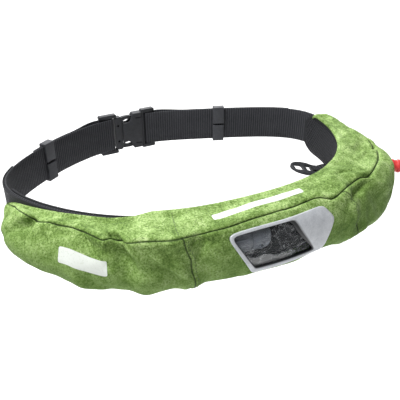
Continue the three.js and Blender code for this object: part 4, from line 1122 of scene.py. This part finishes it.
def window_frame():
    """The frame's band round the opening: a low rounded rib with a lip."""
    loops = []
    for k, count in enumerate(FRAME_STEPS):
        share = np.arange(count)[:, None] / count
        loops.append(FRAME_CORNERS[k] * (1 - share) + np.roll(FRAME_CORNERS, -1, axis=0)[k] * share)
    loop = np.concatenate(loops)
    for _ in range(7):
        loop = (np.roll(loop, 1, axis=0) + 2 * loop + np.roll(loop, -1, axis=0)) / 4
    across = np.array((0, 0, 0.04, 0.1, 0.2, 0.4, 0.6, 0.76, 0.84, 0.88, 0.9, 0.96, 1, 1))
    proud = np.array((-0.4, 0.6, 0.9, 1, 1.05, 1.08, 1.08, 1.05, 1, 0.8, 0.5, 0.45, 0.3, -0.6))
    x = loop[:, :1] * (1 - across) + loop[:, 2:3] * across
    y = loop[:, 1:2] * (1 - across) + loop[:, 3:] * across
    points = by_window(x, y, FRAME_SEAT + FRAME_THICKNESS * proud)
    points = np.concatenate([points, points[:1]])
    band = np.broadcast_to(across[None, :, None], points.shape) * (1, 0, 0)
    rim = skin("window_frame_band", points, {"band": band})
    edit(rim)
    bpy.ops.mesh.remove_doubles(threshold=0.02 * MM)
    bpy.ops.mesh.normals_make_consistent(inside=False)
    bpy.ops.object.mode_set(mode="OBJECT")
    thicken(rim, FRAME_WALL)
    return rim


fit(window_frame(), "grey_frame", nodes=["window_frame"])


def window_pane():
    """Crinkled clear film that laps the opening from inside."""
    lap_x, lap_y = 2 * FILM_LAP / WINDOW_WIDTH, 2 * FILM_LAP / WINDOW_HEIGHT
    high = np.array(((-0.9 - lap_x, 0.86 + lap_y), (0.14 + lap_x, 0.88 + lap_y)))
    low = np.array(((-0.51 - lap_x, -0.74 - lap_y), (0.62 + lap_x, -0.76 - lap_y)))
    u = np.linspace(0, 1, 57)[:, None, None]
    v = np.linspace(0, 1, 37)[None, :, None]
    place = (high[0] * (1 - u) + high[1] * u) * (1 - v) + (low[0] * (1 - u) + low[1] * u) * v
    x, y = place[..., 0], place[..., 1]
    edge = np.minimum(np.minimum(u, 1 - u), np.minimum(v, 1 - v))[..., 0]
    crinkle = 0.5 * ripple(x * 6, y * 4 + x * 2, 11) + 0.35 * ripple(x * 13 + y * 4, y * 7, 12)
    proud = crinkle * MM * smooth(edge, 0, 0.15) - FILM_SUNK
    place = np.stack([x, y, edge], axis=-1)
    film = skin("window_film", by_window(x, y, proud), {"film": place})
    thicken(film, FILM_THICKNESS)
    return film


fit(window_pane(), "clear_film", nodes=["window_pane"])


# Turned and moulded pieces

def turned(name, profile, sides, place):
    """A solid of revolution: a disc that is extruded and scaled from ring to
    ring along its axis, z. The profile is (radius, height) from end to end."""
    radius, height = profile[0]
    piece = primitive(bpy.ops.mesh.primitive_circle_add, name, vertices=sides, radius=radius,
                      fill_type="NGON", location=(0, 0, height))
    edit(piece)
    for next_radius, next_height in profile[1:]:
        bpy.ops.mesh.extrude_region_move(
            TRANSFORM_OT_translate={"value": (0, 0, next_height - height)})
        scale = next_radius / radius
        bpy.ops.transform.resize(value=(scale, scale, 1), center_override=(0, 0, next_height))
        radius, height = next_radius, next_height
    bpy.ops.object.mode_set(mode="OBJECT")
    face_outward(piece)
    settle(piece, place)
    return piece


def settle(piece, place):
    """Moves a piece from its own frame to its place, which its mesh keeps."""
    piece.matrix_world = place
    select_only(piece)
    apply_transform()


def soften(piece, width, segments=3, angle=35):
    """Rounds a piece's edges and smooths its faces."""
    finish_modifier(piece, "BEVEL", width=width, segments=segments, limit_method="ANGLE",
                    angle_limit=radians(angle))
    select_only(piece)
    bpy.ops.object.shade_smooth_by_angle(angle=radians(40))
    return piece


def box(name, low, high, place, corner=0.0):
    """A block between two corners of a frame, its edges rounded."""
    low, high = Vector(low), Vector(high)
    piece = primitive(bpy.ops.mesh.primitive_cube_add, name, high - low, size=1,
                      location=(low + high) / 2)
    if corner:
        edit(piece)
        bpy.ops.mesh.bevel(offset=corner, segments=3, affect="EDGES")
        bpy.ops.object.mode_set(mode="OBJECT")
    settle(piece, place)
    return piece


def combine(piece, other, operation):
    """Joins another piece to one, or cuts it out of it."""
    finish_modifier(piece, "BOOLEAN", object=other, operation=operation, solver="EXACT")
    bpy.data.objects.remove(other)


def copy_of(node):
    """A CAD piece's mesh again, as one closed surface with flat faces."""
    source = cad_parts[node]
    piece = bpy.data.objects.new(node + "_moulded", source.data.copy())
    bpy.context.collection.objects.link(piece)
    edit(piece)
    bpy.ops.mesh.remove_doubles(threshold=0.005 * MM)
    bpy.ops.mesh.dissolve_limited(angle_limit=radians(1))
    bpy.ops.object.mode_set(mode="OBJECT")
    return piece


def inflator():
    """The inflator's body: a cap, a waist band and a domed end, with a port."""
    half = INFLATOR_LENGTH / 2
    radius = INFLATOR_RADIUS

    def dome(side, length, angles):
        return [(radius * cos(a) + 0.01 * MM, side * (half - radius * (1 - sin(a)) * length))
                for a in map(radians, angles)]

    profile = dome(-1, 0.9, (88, 75, 60, 45, 30, 15, 0)) + [
        (radius, -0.1 * half), (0.93 * radius, -0.08 * half), (0.93 * radius, 0.02 * half),
        (radius, 0.04 * half), (radius, half - 0.62 * radius),
    ] + dome(1, 0.62, (15, 30, 45, 60, 75, 88))
    low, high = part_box("inflator")
    place = Matrix.Translation((low + high) / 2) @ belt_frame(INFLATOR_AT).to_3x3().to_4x4()
    body = turned("inflator_body", profile, 48, place @ Matrix.Rotation(pi / 2, 4, "Y"))
    port_place = place @ Matrix.Translation((0.2 * INFLATOR_LENGTH, -0.3 * radius, 0))
    hole = turned("port", [(1.5 * MM, 0), (1.5 * MM, 2 * radius)], 24, port_place)
    collar = turned("collar", [(2.9 * MM, 0.4 * radius), (2.9 * MM, 0.99 * radius),
                               (2.4 * MM, 1.03 * radius)], 32, port_place)
    combine(body, collar, "UNION")
    combine(body, hole, "DIFFERENCE")
    for side in (-1, 1):
        rib = box("rib", (-0.75 * half, side * 0.5 * radius - 0.6 * MM, 0.5 * radius),
                  (-0.2 * half, side * 0.5 * radius + 0.6 * MM, 0.95 * radius), place, 0.3 * MM)
        combine(body, rib, "UNION")
    return soften(body, 0.35 * MM, 2, 40)


fit(inflator(), "grey_inflator", nodes=["inflator"])


def knob_place():
    """Where the knob comes through the cover: a frame whose z is outward."""
    s = np.array([KNOB_AT])
    profile, _, _, height = cover_profile(s, LID_ROWS * FINER, FRONT_ROWS * FINER)
    front = np.s_[SEAM_ROW:FRONT_MIDDLE_ROW]
    out = np.interp(-KNOB_UP, -height[0, front], profile[0, front, 0])
    return belt_frame(KNOB_AT, out, KNOB_UP)


def pull_knob():
    """A rounded grip with finger grooves, on a neck through the cloth."""
    grip = KNOB_STAND_OFF
    tip = grip + KNOB_LENGTH
    radius = KNOB_RADIUS
    profile = [(3.9 * MM, -5.2 * MM), (3.9 * MM, -4.2 * MM), (2.5 * MM, -4.2 * MM), (2.5 * MM, grip),
               (radius - 1.4 * MM, grip), (radius - 0.3 * MM, grip + 0.5 * MM), (radius, grip + 1.3 * MM),
               (radius, grip + 3.6 * MM), (radius - 0.8 * MM, grip + 4.5 * MM),
               (radius - 0.8 * MM, grip + 7 * MM), (radius, grip + 7.9 * MM), (radius, tip - 2.4 * MM),
               (radius - 0.5 * MM, tip - 1 * MM), (radius - 1.6 * MM, tip - 0.25 * MM),
               (radius - 3.4 * MM, tip), (0.4 * MM, tip - 0.2 * MM)]
    return soften(turned("pull_knob_grip", profile, 40, knob_place()), 0.25 * MM, 2, 30)


fit(pull_knob(), "red_knob", nodes=["pull_knob"])


# The buckle

BAR_OUT = WEBBING_THICKNESS + GAP + BUCKLE_BAR / 2
HALF_LENGTH = BUCKLE_LENGTH / 2
HALF_HEIGHT = BUCKLE_HEIGHT / 2
PLUG_BASE = 0.45 * HALF_LENGTH
SOCKET_BASE = 0.58 * HALF_LENGTH
CUT_FROM = -10 * MM
buckle_frame = belt_frame(BUCKLE_AT, -BUCKLE_INSET)


def buckle_plug():
    plug = copy_of("buckle_plug")
    for side in (-1, 1):
        x, y = 0.31 * HALF_LENGTH, side * 0.4 * HALF_HEIGHT
        hole = box("hole", (x, y - 1.2 * MM, CUT_FROM), (x + 2.6 * MM, y + 1.2 * MM, BAR_OUT),
                   buckle_frame)
        combine(plug, hole, "DIFFERENCE")
    return soften(plug, 0.45 * MM)


def buckle_socket():
    socket = copy_of("buckle_socket")
    for side in (-1, 1):
        y = side * 0.66 * HALF_HEIGHT
        slit = box("slit", (-0.48 * HALF_LENGTH, y - 0.5 * MM, CUT_FROM),
                   (-0.27 * HALF_LENGTH, y + 0.5 * MM, BAR_OUT), buckle_frame)
        combine(socket, slit, "DIFFERENCE")
    line = box("line", (-0.54 * HALF_LENGTH, -HALF_HEIGHT, CUT_FROM),
               (-0.51 * HALF_LENGTH, HALF_HEIGHT, BAR_OUT - BUCKLE_BODY / 2 + 0.7 * MM), buckle_frame)
    combine(socket, line, "DIFFERENCE")
    return soften(socket, 0.45 * MM)


fit(buckle_plug(), "black_plastic", nodes=["buckle_plug"])
fit(buckle_socket(), "black_plastic", nodes=["buckle_socket"])
for node in ("keeper_left", "keeper_right"):
    fit(soften(copy_of(node), 0.5 * MM), "black_plastic", "keeper_plastic", [node])


def accessory_ring():
    """A flat oval ring with a bar across its middle."""
    low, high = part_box("accessory_ring")
    outward = Vector(outward_at(RING_AT))
    along = Vector((0, 0, 1)).cross(outward)
    level = (outward * cos(RING_TILT) - Vector((0, 0, 1)) * sin(RING_TILT)).normalized()
    normal = level.cross(along)
    place = Matrix.Translation((low + high) / 2) @ Matrix((level, along, normal)).transposed().to_4x4()
    ring = primitive(bpy.ops.mesh.primitive_cylinder_add, "accessory_ring_oval",
                     (RING_LENGTH, RING_WIDTH, RING_THICKNESS), vertices=72, radius=0.5, depth=1)
    settle(ring, place)
    for side in (-1, 1):
        ends = sorted((side * RING_BAND / 2, side * (RING_LENGTH / 2 - RING_BAND)))
        slot = box("slot", (ends[0], -RING_SLOT / 2, -RING_THICKNESS),
                   (ends[1], RING_SLOT / 2, RING_THICKNESS), place, 1.8 * MM)
        combine(ring, slot, "DIFFERENCE")
    return soften(ring, 0.9 * MM, 4, 50)


fit(accessory_ring(), "black_plastic", nodes=["accessory_ring"])


# Webbing

RIB_HEIGHT = 0.28 * MM
WEBBING_STEP = RIB_PITCH / 5
WRAP_RADIUS = BUCKLE_BAR * 0.5**0.5 + GAP + WEBBING_THICKNESS / 2
TAIL_OUT = 1.5 * WEBBING_THICKNESS + GAP
PAST_BUCKLE = 3 * MM
PLUG_BAR_AT = BUCKLE_AT + HALF_LENGTH + PAST_BUCKLE
SOCKET_BAR_AT = BUCKLE_AT - HALF_LENGTH - PAST_BUCKLE
FLAT_FROM = 5 * MM


def wrap(side):
    """The webbing's middle round a bar of the buckle, seen from above."""
    at = (PLUG_BASE if side > 0 else SOCKET_BASE) + BUCKLE_SLOT + BUCKLE_BAR / 2
    angles = np.radians(np.linspace(-101.25, 90, 30))
    return [(buckle_frame @ Vector((side * (at - WRAP_RADIUS * cos(a)), 0,
                                    BAR_OUT + WRAP_RADIUS * sin(a))))[:2] for a in angles]


def tail_line(end, at_bar):
    """A tail, from its end to the bar that it was passed round."""
    top = buckle_frame @ Vector((copysign(HALF_LENGTH, at_bar - BUCKLE_AT), 0, BAR_OUT + WRAP_RADIUS))
    start, outward = Vector(by_belt(at_bar, 0, 0)), Vector(outward_at(at_bar))
    lift = (top - start).dot(outward) - TAIL_OUT
    s = np.linspace(end, at_bar, 60)
    settled = smooth(np.abs(s - at_bar), 0, SETTLE_LENGTH)
    return by_belt(s, TAIL_OUT + lift * (1 - settled), 0)[:, :2].tolist()


def webbing_strip(name, line):
    """Ribbed webbing along a line seen from above, with rounded selvedges."""
    line = np.array(line)
    lengths = run_lengths(line)
    s = np.arange(0, lengths[-1], WEBBING_STEP)
    middle = np.stack([np.interp(s, lengths, line[:, k]) for k in range(2)], axis=-1)
    for _ in range(8):
        middle[1:-1] = (middle[:-2] + 2 * middle[1:-1] + middle[2:]) / 4
    along = unit(np.gradient(middle, axis=0))
    away = np.stack([along[:, 1], -along[:, 0]], axis=-1)
    rib = RIB_HEIGHT * np.abs(np.sin(pi * s / RIB_PITCH))
    places = np.array([
        (-BELT_TOP, 0.35), (-BELT_TOP + 0.7 * MM, 1), (-BELT_TOP / 3, 1),
        (BELT_TOP / 3, 1), (BELT_TOP - 0.7 * MM, 1), (BELT_TOP, 0.35)])
    outline = np.concatenate([places, places[::-1] * (1, -1)])
    thick = (WEBBING_THICKNESS / 2 - RIB_HEIGHT + rib)[:, None] * outline[:, 1]
    points = np.empty((len(s), len(outline), 3))
    points[..., :2] = middle[:, None] + away[:, None] * thick[..., None]
    points[..., 2] = outline[:, 0]
    belt = np.stack([np.broadcast_to(s[:, None], thick.shape), points[..., 2], thick], axis=-1)
    return skin(name, points, {"belt": belt}, capped=True)


belt_places = np.linspace(PLUG_BAR_AT + FLAT_FROM, SOCKET_BAR_AT + WAIST_LENGTH - FLAT_FROM, 400)
webbing_line = (
    tail_line(LEFT_TAIL_END, PLUG_BAR_AT) + wrap(1)[::-1]
    + by_belt(belt_places, WEBBING_THICKNESS / 2, 0)[:, :2].tolist()
    + wrap(-1) + tail_line(RIGHT_TAIL_END - WAIST_LENGTH, SOCKET_BAR_AT)[::-1])
fit(webbing_strip("belt_webbing_ribbed", webbing_line), "black_webbing", nodes=["belt_webbing"])


def ring_tab():
    """The tab's loop of webbing, whose ribs run across it."""
    tab = soften(copy_of("ring_tab"), 0.3 * MM, 2)
    into = belt_frame(RING_AT).inverted()
    places = [into @ vertex.co for vertex in tab.data.vertices]
    carry(tab.data, "belt", [(p.z - p.y, p.x, 0) for p in places])
    return tab


fit(ring_tab(), "black_webbing", nodes=["ring_tab"])


# The panel and the pad

LAYER_STEP = 1.5 * MM
PAD_END_ROUND = 8 * MM
WING_TIP_BOTTOM = -0.1 * WEBBING_WIDTH


def layer(name, s, middle, half_thickness, top, bottom, rows):
    """A flat layer along the belt. half_thickness gives half its thickness at
    a distance from its edge."""
    share = np.linspace(0, 1, rows + 1)[None, :]
    share = share - 0.08 * np.sin(2 * pi * share)
    low, high = bottom(s)[:, None], top(s)[:, None]
    up = low * (1 - share) + high * share
    to_edge = np.minimum(np.minimum(up - low, high - up), from_ends(s)[:, None])
    thick = half_thickness(to_edge)
    along = np.broadcast_to(s[:, None], up.shape)
    sides = [by_belt(along, middle + sign * thick, up) for sign in (1, -1)]
    points = np.concatenate([sides[0], sides[1][:, ::-1]], axis=1)
    belt = np.stack([along, up, to_edge], axis=-1)
    belt = np.concatenate([belt, belt[:, ::-1]], axis=1)
    return skin(name, points, {"belt": belt}, capped=True)


def panel_half(to_edge):
    tape = 0.16 * MM * smooth(to_edge, 4 * MM, 3 * MM)
    return (0.5 * MM + tape) * np.sqrt(smooth(to_edge, -0.6 * MM, 1 * MM))


def pad_half(to_edge):
    tape = 0.45 * MM + 0.6 * MM * smooth(to_edge, -1 * MM, 1.2 * MM)
    groove = 0.5 * MM * ridge(to_edge - 4.3 * MM, 0.7 * MM)
    return tape + 0.45 * MM * smooth(to_edge, 4 * MM, 7 * MM) - groove


def panel_bottom(s):
    past = np.clip((POUCH_LEFT_END - s) / WING_LENGTH, 0, 1)
    return PAD_BOTTOM + (WING_TIP_BOTTOM - PAD_BOTTOM) * smooth(past)


def pad_edge(edge, corner, cut):
    """The height of the pad's edge along it, cut back round its corners."""
    def at(s):
        to_end = np.minimum(s - PAD_LEFT_END, PAD_RIGHT_END - s)
        return edge - cut * (1 - rounded(to_end, corner))
    return at


pad_top = pad_edge(BELT_TOP, 0.4 * WEBBING_WIDTH, 0.4 * WEBBING_WIDTH)
pad_bottom = pad_edge(PAD_BOTTOM, 0.6 * WEBBING_WIDTH, -0.5 * WEBBING_WIDTH)


panel_places = np.arange(POUCH_LEFT_END - WING_LENGTH, POUCH_RIGHT_END, LAYER_STEP)
back_panel = layer(
    "back_panel_cloth", panel_places, PANEL_IN + PANEL_THICKNESS / 2, panel_half,
    lambda s: np.full(s.shape, BELT_TOP), panel_bottom, 24)
fit(back_panel, "black_cloth", nodes=["back_panel"])

pad_end = PAD_END_ROUND * (1 - np.cos(np.linspace(0, pi / 2, 9)))
pad_places = np.concatenate([
    PAD_LEFT_END + pad_end[:-1],
    np.arange(PAD_LEFT_END + PAD_END_ROUND, PAD_RIGHT_END - PAD_END_ROUND, LAYER_STEP),
    PAD_RIGHT_END - pad_end[::-1]])
mesh_pad = layer(
    "mesh_pad_cushion", pad_places, (PAD_IN + PAD_OUT) / 2, pad_half, pad_top, pad_bottom, 40)
fit(mesh_pad, "black_mesh", nodes=["mesh_pad"])


# The folded bladder, thin behind the inflator

BLADDER_FROM_END = 13 * MM
BLADDER_STEP = 2 * MM
BLADDER_SUNK = 8.5 * MM
BLADDER_SUNK_MORE = 2.5 * MM
PLEAT_DEPTH = 1.8 * MM
PLEAT_TURN = 2.1 * MM


def bladder():
    """A pack of pleats under the cover, which gives way to the inflator."""
    s = np.arange(POUCH_LEFT_END + BLADDER_FROM_END, POUCH_RIGHT_END - BLADDER_FROM_END, BLADDER_STEP)
    profile, way, below, _ = cover_profile(s, 20, 60)
    low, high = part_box("inflator")
    back = PANEL_OUT + GAP
    beside = (np.abs(s - INFLATOR_AT) - INFLATOR_LENGTH / 2) / INFLATOR_RADIUS
    room = smooth(beside, 0.3, 1.8)[:, None]
    by_knob = 1 - smooth(np.abs(s - KNOB_AT) / (10 * MM), 1, 2)
    depth = BLADDER_SUNK + BLADDER_SUNK_MORE * smooth(beside, 3, 5) + KNOB_STAND_OFF * by_knob
    pleat = np.sin(below / PLEAT_TURN + 3 * ripple(s[:, None] / (30 * MM), below / (24 * MM), 21))
    pleats = PLEAT_DEPTH / 2 * (1 - pleat) * smooth(below, -8 * MM, 4 * MM)
    inside = profile - way * (depth[:, None] + pleats)[..., None]
    used = inside[:, 4:67]
    room = np.maximum(room, smooth(np.abs(used[..., 1]) / INFLATOR_RADIUS, 1.2, 1.7))
    farthest = used[..., 0].max(axis=1, keepdims=True)
    inflator_out = np.dot((low + high) / 2 - Vector(by_belt(INFLATOR_AT, 0, 0)), outward_at(INFLATOR_AT))
    thin = np.minimum((inflator_out - INFLATOR_RADIUS - GAP - back) / (farthest - back), 1)
    share = thin + (1 - thin) * room
    x = back + np.maximum((used[..., 0] - back) * share, 0.5 * MM)
    y = used[..., 1] * (0.7 + 0.3 * room)
    y = np.maximum(y, PAD_BOTTOM + 3 * MM)
    top, bottom = y[:, :1] - 0.5 * MM, y[:, -1:]
    x = np.concatenate([np.full_like(top, back), x, np.full_like(top, back)], axis=1)
    y = np.concatenate([top, y, bottom], axis=1)
    return skin("bladder_folded", by_belt(s[:, None], x, y), capped=True)


fit(bladder(), "black_bladder", nodes=["bladder"])


# Stitching

STITCH_LONG = 2.1 * MM
STITCH_WIDE = 0.75 * MM
STITCH_PITCH = 3.2 * MM
STITCH_INSET = 3 * MM
FROM_SEAM = 2.6 * MM


def one_stitch():
    """One stitch's points and faces: a small bead drawn out along x."""
    bead = primitive(bpy.ops.mesh.primitive_uv_sphere_add, "stitch",
                     (STITCH_LONG, STITCH_WIDE, STITCH_WIDE * 0.8), segments=8, ring_count=5, radius=0.5)
    points = np.array([vertex.co for vertex in bead.data.vertices])
    faces = [list(face.vertices) for face in bead.data.polygons]
    bpy.data.objects.remove(bead)
    return points, faces


bead_points, bead_faces = one_stitch()


def stitches(name, rows):
    """Stitches along lines. Each row is points and the way out at each."""
    vertices, faces = [], []
    for points, way in rows:
        lengths = run_lengths(points)
        for mark in np.arange(STITCH_PITCH / 2, lengths[-1], STITCH_PITCH):
            place, ahead, out = (
                np.array([np.interp(at, lengths, field[:, k]) for k in range(3)])
                for at, field in ((mark, points), (mark + 0.5 * MM, points), (mark, way)))
            along = unit(ahead - place)
            side = unit(np.cross(out, along))
            turned_bead = bead_points @ np.array((along, side, np.cross(along, side)))
            faces += [[index + len(vertices) for index in face] for face in bead_faces]
            vertices += (place + turned_bead).tolist()
    return new_piece(name, vertices, faces)


def cover_row(s, row_from, row_to):
    """A row down the cover, with the way out along it."""
    return on_cover(np.full(80, s), np.linspace(row_from, row_to, 80), 0.1 * MM)


seam_rows = [
    cover_row(LEFT_SEAM + FROM_SEAM, SEAM_ROW + 2, last_row - 8),
    cover_row(LEFT_SEAM - FROM_SEAM, 2, SEAM_ROW - 2),
    cover_row(RIGHT_SEAM - FROM_SEAM, SEAM_ROW + 2, last_row - 8),
]
fit(stitches("cover_stitches", seam_rows), "printed_cloth", "pale_thread")


def belt_row(s_from, s_to, out, up, way=1):
    """A row along the belt, with the way out along it."""
    s = np.linspace(s_from, s_to, 200)
    return by_belt(s, out, up(s)), way * outward_at(s)


wing = (POUCH_LEFT_END - WING_LENGTH + STITCH_INSET, POUCH_LEFT_END - 2 * MM)
dark_rows = [
    belt_row(*wing, PANEL_OUT - 0.1 * MM, lambda s: BELT_TOP - STITCH_INSET),
    belt_row(*wing, PANEL_OUT - 0.1 * MM, lambda s: panel_bottom(s) + STITCH_INSET),
    belt_row(PAD_LEFT_END + 12 * MM, PAD_RIGHT_END - 12 * MM, PAD_IN + 0.7 * MM,
             lambda s: pad_bottom(s) + STITCH_INSET, -1),
]
fit(stitches("belt_stitches", dark_rows), "black_cloth", "black_thread")


# The floor, the light and the camera

FLOOR_BELOW = 300 * MM
FLOOR_SIZE = 12
WORLD_LIGHT = 0.3
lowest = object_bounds()[0].z
floor = primitive(bpy.ops.mesh.primitive_plane_add, "floor", size=FLOOR_SIZE,
                  location=(0, 0, lowest - FLOOR_BELOW))
floor.data.materials.append(pale_floor())


def soft_light(name, place, size, power):
    lamp = bpy.data.lights.new(name, "AREA")
    lamp.shape = "DISK"
    lamp.size = size
    lamp.energy = power
    light = bpy.data.objects.new(name, lamp)
    light.location = place
    light.rotation_euler = (-Vector(place)).to_track_quat("-Z", "Y").to_euler()
    bpy.context.collection.objects.link(light)


soft_light("key", (-0.9, 0.1, 1.9), 1.1, 62)
soft_light("back", (-0.2, 1.0, 0.9), 0.8, 2.5)
soft_light("far", (1.8, 3.4, 2.2), 2, 150)
world = bpy.data.worlds.new("studio")
world.use_nodes = True
background = world.node_tree.nodes["Background"].inputs
background["Color"].default_value = (1, 1, 1, 1)
background["Strength"].default_value = WORLD_LIGHT
bpy.context.scene.world = world
bpy.context.scene.view_settings.view_transform = "Standard"

camera = bpy.data.objects.new("camera", bpy.data.cameras.new("camera"))
camera.location = CAMERA_AT
camera.rotation_euler = (CAMERA_LOOKS_AT - CAMERA_AT).to_track_quat("-Z", "Y").to_euler()
camera.data.lens = CAMERA_LENS
bpy.context.collection.objects.link(camera)
bpy.context.scene.camera = camera
